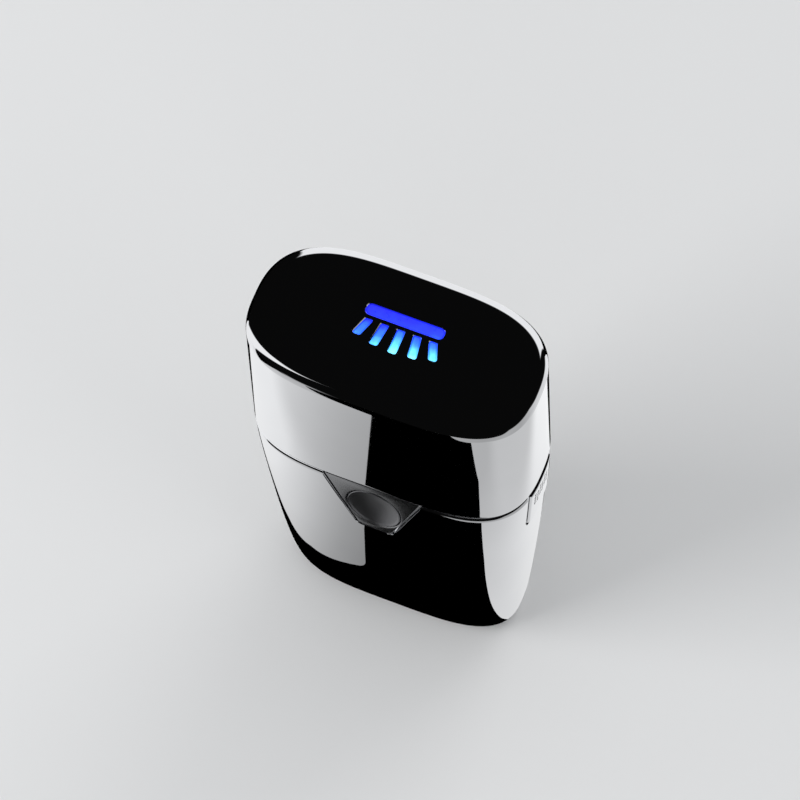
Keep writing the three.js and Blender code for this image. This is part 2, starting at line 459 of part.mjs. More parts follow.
// lamp-and-rays symbol, cut through the top
const glyph = (grow = 0) => {
  const lamp = rect(2 * GLYPH_HALF_W + 2 * grow, 2.5 + 2 * grow, 1.0 + grow * 0.5, 0, GLYPH_Y + 3.1, 3);
  const shapes = [lamp];
  const ray = (x0, x1, len, wd) => {
    // slanted bar from the lamp's foot down by len
    const y0 = GLYPH_Y + 0.95, y1 = y0 - len, h = wd / 2 + grow;
    return roundedPoly([[x1 - h, y1 - grow], [x1 + h, y1 - grow], [x0 + h, y0 + grow], [x0 - h, y0 + grow]], [0.35, 0.35, 0.35, 0.35], 2);
  };
  for (const [x0, x1, len] of [[-6.9, -8.3, 3.9], [-3.5, -4.2, 4.9], [0, 0, 5.3], [3.5, 4.2, 4.9], [6.9, 8.3, 3.9]]) shapes.push(ray(x0, x1, len, 1.6));
  return shapes;
};
{
  const z0 = SEAM_Z + SEAM_GAP / 2;
  const outer = [capRing(z0, 0.3, 1), capRing(z0 + 0.35, 0, 1), capRing(90, 0, 0.55), capRing(102, 0, 0)];
  const zf = TOP_Z - CAP_CROWN - CAP_FILLET;
  for (let k = 0; k <= 4; k++) {
    const a = (k / 4) * (Math.PI / 2);
    outer.push(capRing(zf + CAP_FILLET * Math.sin(a), CAP_FILLET * (1 - Math.cos(a))));
  }
  outer.push(ring(20, 9.5, 9.5, TOP_Z - CAP_CROWN * 0.3), ring(9, 5.5, 5.5, TOP_Z));
  const inner = [capRing(70, CAP_WALL, 0, 40), capRing(SEAM_Z, CAP_WALL, 0, 40), capRing(117.6, CAP_WALL, 0, 40), capRing(118.9, CAP_WALL + 1.1, 0, 40)];
  let shell = loft(outer).subtract(loft(inner));
  for (const p of glyph(0)) shell = shell.subtract(prismZ(p, 117, 122));
  part('cap_shell', shell, 0xd5d7da, 0.05, 1);
}
{
  // light window: a plate under the top with the symbol standing up into the cut-outs
  let w = prismZ(rect(20.4, 12.8, 1.5, 0, GLYPH_Y + 0.6), 117.5, 118.6);
  for (const p of glyph(-0.12)) w = w.add(prismZ(p, 118.5, TOP_Z - 0.35));
  part('glyph_window', w, 0x3f6cff, 0.3, 0);
}
{
  // liner: inner wall, ceiling with two lamp windows, screw-free clip ribs
  const lo = SEAM_Z + 0.6, A = HALF_W - CAP_WALL - 0.3, B = HALF_D - CAP_WALL - 0.3;
  const F = (z) => HALF_D * frontScale(z) - CAP_WALL - 0.3;
  const outer = loft([ring(A, F(lo), B, lo, 1, 40), ring(A, F(92), B, 92, 0.4, 40), ring(A, F(LINER_TOP_Z), B, LINER_TOP_Z, 0, 40)]);
  const inner = loft([ring(27.45, 13.35, 13.35, 70, 0, 40), ring(27.4, 12.7, 13.25, 108.5, 0, 40), ring(25.6, 11.0, 11.4, 110.4, 0, 40)]);
  let l = cut(outer, inner, cylZ(3.0, 108, 114, -12, 0, 24), cylZ(3.0, 108, 114, 12, 0, 24), cylZ(3.9, 111.0, 114, -12, 0, 24), cylZ(3.9, 111.0, 114, 12, 0, 24));
  l = cut(l, box(-7.3, -4.7, 13.0, 14.7, 78, 83.3), box(4.7, 7.3, 13.0, 14.7, 78, 83.3));
  part('cap_liner', l, 0x151618, 0.45, 0);
}
for (const s of [-1, 1]) {
  const tag = s < 0 ? 'left' : 'right';
  part(`quartz_window_${tag}`, cylZ(3.7, 111.15, 111.95, 12 * s, 0, 24), 0xe8f2ff, 0.05, 0);
  part(`uv_led_${tag}`, union(box(12 * s - 1.75, 12 * s + 1.75, -1.75, 1.75, 112.55, 113.1), cylZ(1.2, 112.25, 112.7, 12 * s, 0, 16)), 0xe9edf2, 0.3, 0.1);
  part(`glyph_led_${tag}`, box(4.2 * s - 1.6, 4.2 * s + 1.6, -0.9, 1.7, 114.45, 115.6), 0x9fc4ff, 0.3, 0);
  part(`contact_pad_${tag}`, box(6 * s - 1.0, 6 * s + 1.0, 13.35, 14.4, 81.3, 83.0), 0xd2a63c, 0.25, 1);
}
part('uv_board', cut(loft([ring(27.2, 12.9, 12.9, 113.25, 0, 32), ring(27.2, 12.9, 12.9, 114.3, 0, 32)]), cylZ(1.2, 110, 118, -24.6, 0, 12), cylZ(1.2, 110, 118, 24.6, 0, 12)), 0x17386b, 0.5, 0);
part('cap_battery', prismZ(rect(13.0, 19.0, 1.2, -17.6, 0), 114.5, 117.3), 0xb9bcc0, 0.4, 0.6);
part('cap_switch', union(box(13, 18, -3, 3, 114.45, 116.2), cylZ(1.2, 116.0, 116.8, 15.5, 0, 16)), 0x232427, 0.5, 0);

export default group;
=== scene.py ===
# Compact cordless foil shaver with a fitted UV disinfecting cap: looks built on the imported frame.
import bpy, bmesh, json, math
import numpy as np
from mathutils import Vector, Matrix
from mathutils.bvhtree import BVHTree
from mathutils.interpolate import poly_3d_calc


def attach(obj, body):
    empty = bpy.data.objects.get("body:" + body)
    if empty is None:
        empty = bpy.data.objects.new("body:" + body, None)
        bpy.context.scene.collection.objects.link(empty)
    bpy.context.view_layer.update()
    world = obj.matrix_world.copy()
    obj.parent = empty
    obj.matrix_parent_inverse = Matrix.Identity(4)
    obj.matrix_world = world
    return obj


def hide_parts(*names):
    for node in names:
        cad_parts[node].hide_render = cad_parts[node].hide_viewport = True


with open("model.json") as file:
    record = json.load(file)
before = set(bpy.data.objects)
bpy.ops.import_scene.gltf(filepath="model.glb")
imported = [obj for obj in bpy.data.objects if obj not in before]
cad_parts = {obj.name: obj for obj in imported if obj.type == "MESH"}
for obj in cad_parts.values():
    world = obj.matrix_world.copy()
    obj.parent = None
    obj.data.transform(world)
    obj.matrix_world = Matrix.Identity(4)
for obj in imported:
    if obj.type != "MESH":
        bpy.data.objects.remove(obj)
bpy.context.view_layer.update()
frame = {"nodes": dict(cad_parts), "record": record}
MM = 0.001
NODES = frame["nodes"]

# ------------------------------------------------------------------ dimensions (mm), as in the CAD
HALF_W, HALF_D, SEAM_Z, END_DIP, TOP_Z = 31.0, 16.9, 81.0, 2.6, 120.8
SEAM_GAP = 0.3
PLAN_P, PLAN_Q = 3.7, 2.6
BODY_WALL, CAP_WALL = 2.2, 1.4
CAP_FILLET, CAP_CROWN, TOP_FRONT_SCALE = 2.35, 0.35, 0.913
BASE_FILLET, BASE_RISE = 2.4, 0.5
PANEL_TOP_HALF, PANEL_BOTTOM_HALF, PANEL_H, PANEL_FACE_Y = 10.6, 3.6, 22.0, -16.45
BUTTON_HALF_W, BUTTON_HALF_H, BUTTON_DROP = 5.85, 8.3, 11.4
RELEASE_HALF_W, RELEASE_LOW_Z = 5.1, 61.4
GLYPH_HALF_W = 8.4
FOIL_R, FOIL_Y, FOIL_HALF_L, FOIL_AXIS_Z = 4.7, 5.0, 16.1, 98.6
BTN_Z = SEAM_Z - BUTTON_DROP


# ------------------------------------------------------------------ outlines
def sgnpow(v, e):
    return np.sign(v) * np.abs(v) ** e


def outline_t(n):
    """Angles that space points evenly round the plan outline."""
    t = np.linspace(0, 2 * np.pi, 20001)
    x, y = HALF_W * sgnpow(np.cos(t), 2 / PLAN_P), HALF_D * sgnpow(np.sin(t), 2 / PLAN_Q)
    s = np.concatenate([[0], np.cumsum(np.hypot(np.diff(x), np.diff(y)))])
    return np.interp(np.arange(n) / n * s[-1], s, t)


def super_xy(t, a, bf, bb):
    c, s = np.cos(t), np.sin(t)
    return a * sgnpow(c, 2 / PLAN_P), np.where(s < 0, bf, bb) * sgnpow(s, 2 / PLAN_Q)


def dip(x):
    return END_DIP * (x / HALF_W) ** 2


def smooth(z, a, b):
    u = np.clip((z - a) / (b - a), 0, 1)
    return u * u * (3 - 2 * u)


def body_surface(t, z, inset):
    k = np.maximum(0, 1 - z / SEAM_Z)
    a = HALF_W * (1 - (k / 2.18) ** 1.08) ** 0.365
    bf, bb = HALF_D - 4.2 * k * k - 2.95 * k ** 8, HALF_D - 0.6 * k * k - 1.2 * k ** 8
    x, y = super_xy(t, a - inset, bf - inset, bb - inset)
    return np.stack([x, y, z - smooth(z, 45, 78) * dip(x)], -1)


def cap_surface(t, z, inset, drop):
    k = 1 - (1 - TOP_FRONT_SCALE) * np.clip((z - SEAM_Z) / (TOP_Z - SEAM_Z), 0, 1)
    x, y = super_xy(t, HALF_W - inset, HALF_D * k - inset, HALF_D - inset)
    return np.stack([x, y, z - drop * dip(x)], -1)


# ------------------------------------------------------------------ mesh tools
def new_object(name, verts_mm, faces):
    me = bpy.data.meshes.new(name)
    me.from_pydata([tuple(v) for v in np.asarray(verts_mm, float) * MM], [], faces)
    me.validate()
    o = bpy.data.objects.new(name, me)
    bpy.context.scene.collection.objects.link(o)
    return o


def patches_object(name, patches, tip_low=None, tip_high=None):
    """A closed loft of smooth patches. Each patch is (surface function of (t, v), v values); neighbouring patches share a ring.
    Normals are taken from each patch's own surface, so an edge between two patches stays crisp. Ends are closed by a fan to a tip."""
    n = 224
    t = outline_t(n)
    verts, faces, fn = [], [], []
    base = None
    h = 1e-4
    for k, (f, vs) in enumerate(patches):
        vs = np.asarray(vs, float)
        T, V = np.meshgrid(t, vs)
        P = f(T, V)
        dt = f(T + h, V) - f(T - h, V)
        e = 1e-3 * (vs[-1] - vs[0])
        lo = np.clip(V - e, min(vs[0], vs[-1]), max(vs[0], vs[-1]))
        hi = np.clip(V + e, min(vs[0], vs[-1]), max(vs[0], vs[-1]))
        dv = f(T, hi) - f(T, lo)
        N = np.cross(dt, dv)
        N /= np.linalg.norm(N, axis=-1, keepdims=True) + 1e-15
        rows = []
        for r in range(len(vs)):
            if r == 0 and base is not None:
                rows.append(base)
                continue
            rows.append(len(verts))
            verts.extend(P[r])
        for r in range(len(vs) - 1):
            for i in range(n):
                j = (i + 1) % n
                faces.append((rows[r] + i, rows[r] + j, rows[r + 1] + j, rows[r + 1] + i))
                fn.append((N[r, i], N[r, j], N[r + 1, j], N[r + 1, i]))
        base = rows[-1]
        if k == 0:
            first, nfirst = rows[0], N[0]
        nlast = N[-1]
    z = np.array([0, 0, 1.0])
    c0 = len(verts)
    p0 = np.mean(verts[first:first + n], axis=0) if tip_low is None else np.array(tip_low, float)
    verts.append(p0)
    p1 = np.mean(verts[base:base + n], axis=0) if tip_high is None else np.array(tip_high, float)
    verts.append(p1)
    for i in range(n):
        j = (i + 1) % n
        faces.append((c0, first + j, first + i))
        fn.append((-z, -z, -z))
        faces.append((c0 + 1, base + i, base + j))
        a, b = (nlast[i], nlast[j]) if tip_high is not None else (z, z)
        fn.append((z, a, b))
    o = new_object(name, verts, faces)
    return o, fn


def remember(o, fn):
    """Keeps a mesh's faces and corner normals, to give them back after cuts."""
    me = o.data
    co = [v.co.copy() for v in me.vertices]
    polys = [tuple(p.vertices) for p in me.polygons]
    return {"co": co, "polys": polys, "fn": fn, "tree": BVHTree.FromPolygons(co, polys, epsilon=0.0)}


def give_normals(o, memories, sharp=30):
    """Sets corner normals: exact ones where a face lies on a remembered surface, angle-limited smooth ones elsewhere."""
    me = o.data
    me.polygons.foreach_set("use_smooth", [True] * len(me.polygons))
    me.set_sharp_from_angle(angle=math.radians(sharp))
    me.update()
    own = [c.vector.copy() for c in me.corner_normals]
    for p in me.polygons:
        c = p.center
        for m in memories:
            hit, nrm, idx, dist = m["tree"].find_nearest(c)
            if hit is None or dist > 3e-5 or abs(nrm.dot(p.normal)) < 0.97:
                continue
            vs = [m["co"][i] for i in m["polys"][idx]]
            fns = m["fn"][idx]
            s = 1 if nrm.dot(p.normal) > 0 else -1
            for li in p.loop_indices:
                w = poly_3d_calc(vs, me.vertices[me.loops[li].vertex_index].co)
                v = Vector((0, 0, 0))
                for k in range(len(vs)):
                    v += w[k] * Vector(fns[k])
                if v.length > 1e-6:
                    own[li] = v.normalized() * s
            break
    me.normals_split_custom_set(own)
    me.update()


def cut(o, *cutters, op="DIFFERENCE"):
    for c in cutters:
        m = o.modifiers.new("b", "BOOLEAN")
        m.operation = op
        m.object = c
        m.solver = "MANIFOLD"
        apply_mods(o)
        bpy.data.objects.remove(c)
    return o


def apply_mods(o):
    dg = bpy.context.evaluated_depsgraph_get()
    dg.update()
    me = bpy.data.meshes.new_from_object(o.evaluated_get(dg))
    o.modifiers.clear()
    old = o.data
    o.data = me
    me.name = o.name
    bpy.data.meshes.remove(old)


def rounded(corners, radii, seg=8):
    out, m = [], len(corners)
    P = [np.array(c, float) for c in corners]
    for i in range(m):
        p = P[i]
        a, b = P[i - 1] - p, P[(i + 1) % m] - p
        a, b = a / np.linalg.norm(a), b / np.linalg.norm(b)
        r = radii[i] if isinstance(radii, (list, tuple)) else radii
        if r <= 0:
            out.append(tuple(p))
            continue
        half = math.acos(np.clip(a @ b, -1, 1)) / 2
        d = r / math.tan(half)
        bis = (a + b) / np.linalg.norm(a + b)
        c = p + bis * r / math.sin(half)
        s0, s1 = p + a * d - c, p + b * d - c
        a0 = math.atan2(s0[1], s0[0])
        da = (math.atan2(s1[1], s1[0]) - a0 + math.pi) % (2 * math.pi) - math.pi
        for k in range(seg + 1):
            q = a0 + da * k / seg
            out.append((c[0] + r * math.cos(q), c[1] + r * math.sin(q)))
    return out


def rect(w, h, r, cx=0, cy=0, seg=8):
    return rounded([(cx - w / 2, cy - h / 2), (cx + w / 2, cy - h / 2), (cx + w / 2, cy + h / 2), (cx - w / 2, cy + h / 2)], r, seg)


def oval(a, b, cx=0, cy=0, n=96):
    q = np.arange(n) * 2 * np.pi / n
    return list(zip(cx + a * np.cos(q), cy + b * np.sin(q)))


def grow(points, d):
    """Offsets a closed outline by d mm outwards (counter-clockwise outline)."""
    P = np.array(points, float)
    area = 0.5 * np.sum(P[:, 0] * np.roll(P[:, 1], -1) - np.roll(P[:, 0], -1) * P[:, 1])
    e = np.roll(P, -1, 0) - P
    e /= np.linalg.norm(e, axis=1)[:, None] + 1e-12
    n = np.stack([e[:, 1], -e[:, 0]], 1) * (1 if area > 0 else -1)
    m = n + np.roll(n, 1, 0)
    m /= np.linalg.norm(m, axis=1)[:, None]
    k = 1 / np.maximum(0.4, np.sum(m * n, 1))
    return [tuple(p) for p in P + m * (d * k)[:, None]]


AX = {"x": lambda u, v, w: (w, u, v), "y": lambda u, v, w: (u, w, v), "z": lambda u, v, w: (u, v, w)}


def stack(name, sections, axis="z"):
    """Closed solid through outlines of equal point count: sections = [(position along axis, outline), ...]."""
    f = AX[axis]
    n = len(sections[0][1])
    verts = [f(u, v, w) for w, pts in sections for u, v in pts]
    faces = []
    for k in range(len(sections) - 1):
        for i in range(n):
            j = (i + 1) % n
            faces.append((k * n + i, k * n + j, (k + 1) * n + j, (k + 1) * n + i))
    faces.append(tuple(range(n - 1, -1, -1)))
    faces.append(tuple((len(sections) - 1) * n + i for i in range(n)))
    o = new_object(name, verts, faces)
    fix_normals(o)
    return o


def fix_normals(o):
    bm = bmesh.new()
    bm.from_mesh(o.data)
    bmesh.ops.remove_doubles(bm, verts=bm.verts, dist=1e-7)
    bmesh.ops.recalc_face_normals(bm, faces=bm.faces)
    bm.to_mesh(o.data)
    bm.free()


def prism(name, pts, w0, w1, axis="z"):
    return stack(name, [(w0, pts), (w1, pts)], axis)


def rimmed(name, pts, w0, w1, r=0.25, axis="z", holes=(), both=True, seg=4):
    """A plate with rounded rims, from an outline and holes, between w0 and w1."""
    def body(p, sign):
        s = []
        for k in range(seg + 1):
            q = math.pi / 2 * k / seg
            if both:
                s.append((w0 + r * (1 - math.cos(q)), grow(p, -sign * r * (1 - math.sin(q)))))
        if not both:
            s.append((w0, p))
        for k in range(seg + 1):
            q = math.pi / 2 * k / seg
            s.append((w1 - r * (1 - math.sin(q)), grow(p, -sign * r * (1 - math.cos(q)))))
        return s
    o = stack(name, body(pts, 1), axis)
    for hpts in holes:
        s = body(hpts, -1)
        eps = 0.05
        s = [(w0 - eps, s[0][1])] + s + [(w1 + eps, s[-1][1])]
        cut(o, stack("cutter", s, axis))
    return o


def lathe(name, profile, axis="z", seg=64, at=(0, 0, 0)):
    """profile: [(radius, position along axis), ...], starting and ending at radius 0."""
    f = AX[axis]
    verts, faces, rings = [], [], []
    for r, w in profile:
        if r < 1e-9:
            rings.append([len(verts)])
            verts.append(f(0, 0, w))
        else:
            rings.append(list(range(len(verts), len(verts) + seg)))
            verts += [f(r * math.cos(2 * math.pi * i / seg), r * math.sin(2 * math.pi * i / seg), w) for i in range(seg)]
    for a, b in zip(rings, rings[1:]):
        for i in range(seg):
            j = (i + 1) % seg
            if len(a) == 1 and len(b) == 1:
                continue
            if len(a) == 1:
                faces.append((a[0], b[j], b[i]))
            elif len(b) == 1:
                faces.append((a[i], a[j], b[0]))
            else:
                faces.append((a[i], a[j], b[j], b[i]))
    o = new_object(name, np.array(verts) + np.array(at), faces)
    fix_normals(o)
    return o


def shade(o, angle=30):
    me = o.data
    me.polygons.foreach_set("use_smooth", [True] * len(me.polygons))
    me.set_sharp_from_angle(angle=math.radians(angle))
    me.update()
    return o


def bevel(o, width=0.15, seg=3, angle=35):
    m = o.modifiers.new("bev", "BEVEL")
    m.width = width * MM
    m.segments = seg
    m.limit_method = "ANGLE"
    m.angle_limit = math.radians(angle)
    m.harden_normals = False
    apply_mods(o)
    return o


def put(o, body, slot, *nodes, mat=None):
    if mat is not None:
        o.data.materials.clear()
        o.data.materials.append(mat)
    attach(o, body)
    if nodes:
        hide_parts(*nodes)
    return o


# ------------------------------------------------------------------ materials
class M:
    """Small helper for node materials."""

    def __init__(self, name):
        self.mat = bpy.data.materials.new(name)
        self.mat.use_nodes = True
        self.t = self.mat.node_tree
        self.t.nodes.clear()
        self.out = self.t.nodes.new("ShaderNodeOutputMaterial")
        self.b = self.t.nodes.new("ShaderNodeBsdfPrincipled")
        self.t.links.new(self.b.outputs[0], self.out.inputs[0])
        self.tc = self.t.nodes.new("ShaderNodeTexCoord")

    def n(self, kind, **k):
        x = self.t.nodes.new(kind)
        for a, v in k.items():
            setattr(x, a, v)
        return x

    def l(self, a, b):
        self.t.links.new(a, b)

    def set(self, **k):
        for a, v in k.items():
            self.b.inputs[a.replace("_", " ")].default_value = v

    def noise(self, scale, detail=3.0, rough=0.5, vec=None, dim="3D"):
        x = self.n("ShaderNodeTexNoise")
        x.inputs["Scale"].default_value = scale
        x.inputs["Detail"].default_value = detail
        x.inputs["Roughness"].default_value = rough
        self.l(vec or self.tc.outputs["Object"], x.inputs["Vector"])
        return x.outputs["Fac"]

    def voronoi(self, scale, feature="F1", vec=None, out="Distance", rand=1.0):
        x = self.n("ShaderNodeTexVoronoi", feature=feature)
        x.inputs["Scale"].default_value = scale
        x.inputs["Randomness"].default_value = rand
        self.l(vec or self.tc.outputs["Object"], x.inputs["Vector"])
        return x.outputs[out]

    def scaled(self, sx, sy, sz, rot=(0, 0, 0)):
        m = self.n("ShaderNodeMapping")
        m.inputs["Scale"].default_value = (sx, sy, sz)
        m.inputs["Rotation"].default_value = rot
        self.l(self.tc.outputs["Object"], m.inputs["Vector"])
        return m.outputs[0]

    def ramp(self, fac, stops):
        r = self.n("ShaderNodeValToRGB")
        e = r.color_ramp.elements
        while len(e) < len(stops):
            e.new(0.5)
        for x, (p, c) in zip(e, stops):
            x.position = p
            x.color = c if len(c) == 4 else (*c, 1)
        self.l(fac, r.inputs[0])
        return r.outputs[0]

    def remap(self, fac, lo, hi, flo=0.0, fhi=1.0):
        r = self.n("ShaderNodeMapRange")
        r.inputs["From Min"].default_value = flo
        r.inputs["From Max"].default_value = fhi
        r.inputs["To Min"].default_value = lo
        r.inputs["To Max"].default_value = hi
        self.l(fac, r.inputs["Value"])
        return r.outputs[0]

    def math(self, op, a, b=None):
        x = self.n("ShaderNodeMath", operation=op)
        for i, v in enumerate((a, b)):
            if v is None:
                continue
            if hasattr(v, "is_output"):
                self.l(v, x.inputs[i])
            else:
                x.inputs[i].default_value = v
        return x.outputs[0]

    def mix(self, fac, a, b):
        x = self.n("ShaderNodeMix", data_type="RGBA")
        for sock, v in ((x.inputs[0], fac), (x.inputs[6], a), (x.inputs[7], b)):
            if hasattr(v, "is_output"):
                self.l(v, sock)
            else:
                sock.default_value = v if not isinstance(v, tuple) or len(v) == 4 else (*v, 1)
        return x.outputs[2]

    def bump(self, height, strength=0.2, dist=0.0002, under=None):
        x = self.n("ShaderNodeBump")
        x.inputs["Strength"].default_value = strength
        x.inputs["Distance"].default_value = dist
        self.l(height, x.inputs["Height"])
        if under is not None:
            self.l(under, x.inputs["Normal"])
        self.l(x.outputs[0], self.b.inputs["Normal"])
        return x.outputs[0]


def chrome(name, tint=(0.80, 0.81, 0.825)):
    """Mirror-polished plating: faint smudges in the roughness, very slight waviness, hairline wipe marks."""
    m = M(name)
    m.set(Metallic=1.0)
    big = m.noise(38, 3, 0.55)
    fine = m.noise(900, 2, 0.6)
    wipe = m.noise(260, 3, 0.6, vec=m.scaled(0.25, 1.0, 3.2, (0.2, 0.35, 0.1)))
    smudge = m.remap(m.math("MULTIPLY", big, wipe), 0.008, 0.034, 0.14, 0.42)
    m.l(m.math("ADD", smudge, m.math("MULTIPLY", fine, 0.006)), m.b.inputs["Roughness"])
    dark = tuple(c * 0.965 for c in tint)
    m.l(m.mix(m.remap(big, 0, 1, 0.35, 0.65), dark, tint), m.b.inputs["Base Color"])
    m.bump(m.noise(55, 1.0, 0.4), 0.035, 0.00004)
    return m.mat


def plastic(name, color, rough=0.5, grain=2400, depth=0.12, spread=0.10, coat=0.0):
    """Moulded plastic: fine spark-eroded grain, slight colour and gloss variation."""
    m = M(name)
    c = tuple(color)
    v = m.noise(60, 3, 0.5)
    m.l(m.mix(m.remap(v, 0, 1, 0.3, 0.7), tuple(x * (1 - spread) for x in c), tuple(min(1, x * (1 + spread)) for x in c)), m.b.inputs["Base Color"])
    g = m.voronoi(grain, rand=1.0)
    m.l(m.remap(m.noise(300, 2), rough - 0.05, rough + 0.06, 0.3, 0.7), m.b.inputs["Roughness"])
    m.bump(g, depth, 0.00005)
    if coat:
        m.set(Coat_Weight=coat, Coat_Roughness=0.08)
    return m.mat


def rubber(name, color=(0.035, 0.035, 0.037)):
    m = M(name)
    v = m.noise(90, 4, 0.6)
    m.l(m.mix(m.remap(v, 0, 1, 0.3, 0.7), tuple(x * 0.85 for x in color), tuple(x * 1.3 for x in color)), m.b.inputs["Base Color"])
    m.l(m.remap(m.noise(700, 2), 0.62, 0.82, 0.3, 0.7), m.b.inputs["Roughness"])
    m.bump(m.noise(3500, 2, 0.7), 0.25, 0.00003)
    return m.mat


def steel(name, color=(0.62, 0.63, 0.65), rough=0.3, lines=(1, 1, 60), strength=0.08):
    """Drawn or ground metal with directional marks along one axis."""
    m = M(name)
    m.set(Metallic=1.0)
    g = m.noise(120, 4, 0.7, vec=m.scaled(*lines))
    b = m.noise(80, 3, 0.5)
    m.l(m.remap(m.math("ADD", m.math("MULTIPLY", g, 0.6), m.math("MULTIPLY", b, 0.4)), rough - 0.08, rough + 0.12, 0.3, 0.7), m.b.inputs["Roughness"])
    m.l(m.mix(m.remap(b, 0, 1, 0.3, 0.7), tuple(x * 0.9 for x in color), color), m.b.inputs["Base Color"])
    m.bump(g, strength, 0.00003)
    return m.mat


def glossy(name, color, rough=0.25, coat=0.0):
    """Moulded satin plastic with faint flow marks."""
    m = M(name)
    v = m.noise(70, 4, 0.55)
    m.l(m.mix(m.remap(v, 0, 1, 0.3, 0.7), tuple(x * 0.88 for x in color), tuple(min(1, x * 1.12) for x in color)), m.b.inputs["Base Color"])
    m.l(m.remap(m.noise(420, 3), rough - 0.05, rough + 0.08, 0.3, 0.7), m.b.inputs["Roughness"])
    m.bump(m.noise(600, 2, 0.6), 0.06, 0.00003)
    if coat:
        m.set(Coat_Weight=coat, Coat_Roughness=0.06)
    return m.mat


def board(name, color):
    """Solder mask over copper: faint track pattern, fine pads and gloss."""
    m = M(name)
    grid = m.voronoi(420, "DISTANCE_TO_EDGE", rand=0.35)
    tracks = m.math("LESS_THAN", grid, 0.06)
    pads = m.math("LESS_THAN", m.voronoi(650, rand=0.8), 0.16)
    base = m.mix(tracks, tuple(color), tuple(min(1, c * 1.7 + 0.01) for c in color))
    m.l(m.mix(pads, base, (0.62, 0.55, 0.36)), m.b.inputs["Base Color"])
    m.l(m.remap(m.noise(300, 2), 0.26, 0.42, 0.3, 0.7), m.b.inputs["Roughness"])
    m.l(pads, m.b.inputs["Metallic"])
    m.bump(tracks, 0.25, 0.00003)
    return m.mat


def glow(name):
    """Lit light guide: deep blue turning to cyan towards the front, faint cloudiness."""
    m = M(name)
    sep = m.n("ShaderNodeSeparateXYZ")
    m.l(m.tc.outputs["Object"], sep.inputs[0])
    # 0 at the back left, 1 at the front right of the symbol
    k = m.math("ADD", m.remap(sep.outputs[1], 1.0, 0.0, -0.0026, 0.0064), m.remap(sep.outputs[0], -0.12, 0.12, -0.0085, 0.0085))
    cloud = m.noise(420, 2, 0.5)
    k = m.math("ADD", k, m.remap(cloud, -0.08, 0.08, 0.3, 0.7))
    col = m.ramp(k, [(0.0, (0.012, 0.016, 0.55)), (0.35, (0.014, 0.035, 0.86)), (0.62, (0.03, 0.16, 1.0)), (0.85, (0.10, 0.55, 1.0)), (1.0, (0.26, 0.86, 1.0))])
    m.l(col, m.b.inputs["Emission Color"])
    m.l(col, m.b.inputs["Base Color"])
    m.set(Emission_Strength=1.15)
    m.l(m.remap(m.noise(900, 2), 0.25, 0.4, 0.3, 0.7), m.b.inputs["Roughness"])
    return m.mat


def clear(name, color, rough=0.05, trans=0.9):
    m = M(name)
    m.l(m.mix(m.noise(80, 2), tuple(c * 0.96 for c in color), color), m.b.inputs["Base Color"])
    m.set(Transmission_Weight=trans, IOR=1.46)
    m.l(m.remap(m.noise(500, 3), rough, rough + 0.06, 0.35, 0.65), m.b.inputs["Roughness"])
    return m.mat


def coilwire(name):
    m = M(name)
    m.set(Metallic=1.0)
    w = m.n("ShaderNodeTexWave", wave_type="BANDS", bands_direction="Y")
    w.inputs["Scale"].default_value = 900
    w.inputs["Distortion"].default_value = 0.6
    m.l(m.tc.outputs["Object"], w.inputs["Vector"])
    m.l(m.mix(w.outputs["Fac"], (0.32, 0.12, 0.04), (0.72, 0.36, 0.16)), m.b.inputs["Base Color"])
    m.l(m.remap(m.noise(300, 2), 0.28, 0.4), m.b.inputs["Roughness"])
    m.bump(w.outputs["Fac"], 0.5, 0.0001)
    return m.mat


def panel_grey():
    """Matte grey lacquer with a fine grain."""
    m = M("panel_matte_grey")
    m.set(Metallic=1.0)
    v = m.noise(110, 3, 0.5)
    g = m.noise(5200, 2, 0.7)
    base = m.mix(m.remap(v, 0, 1, 0.3, 0.7), (0.315, 0.318, 0.33), (0.35, 0.353, 0.365))
    m.l(m.mix(m.remap(g, 0, 0.35, 0.35, 0.75), base, (0.45, 0.453, 0.465)), m.b.inputs["Base Color"])
    m.l(m.remap(g, 0.24, 0.33, 0.3, 0.7), m.b.inputs["Roughness"])
    m.bump(g, 0.16, 0.00002)
    return m.mat


def button_satin():
    """Bead-blasted dark grey button: satin metal sheen with a fine sparkle."""
    m = M("button_satin_grey")
    m.set(Metallic=0.97)
    g = m.noise(6500, 2, 0.7)
    v = m.noise(130, 3, 0.5)
    base = m.mix(m.remap(v, 0, 1, 0.3, 0.7), (0.185, 0.185, 0.195), (0.215, 0.215, 0.225))
    m.l(m.mix(m.remap(g, 0, 0.4, 0.4, 0.8), base, (0.28, 0.28, 0.29)), m.b.inputs["Base Color"])
    m.l(m.remap(g, 0.33, 0.42, 0.3, 0.7), m.b.inputs["Roughness"])
    m.bump(g, 0.12, 0.00002)
    return m.mat


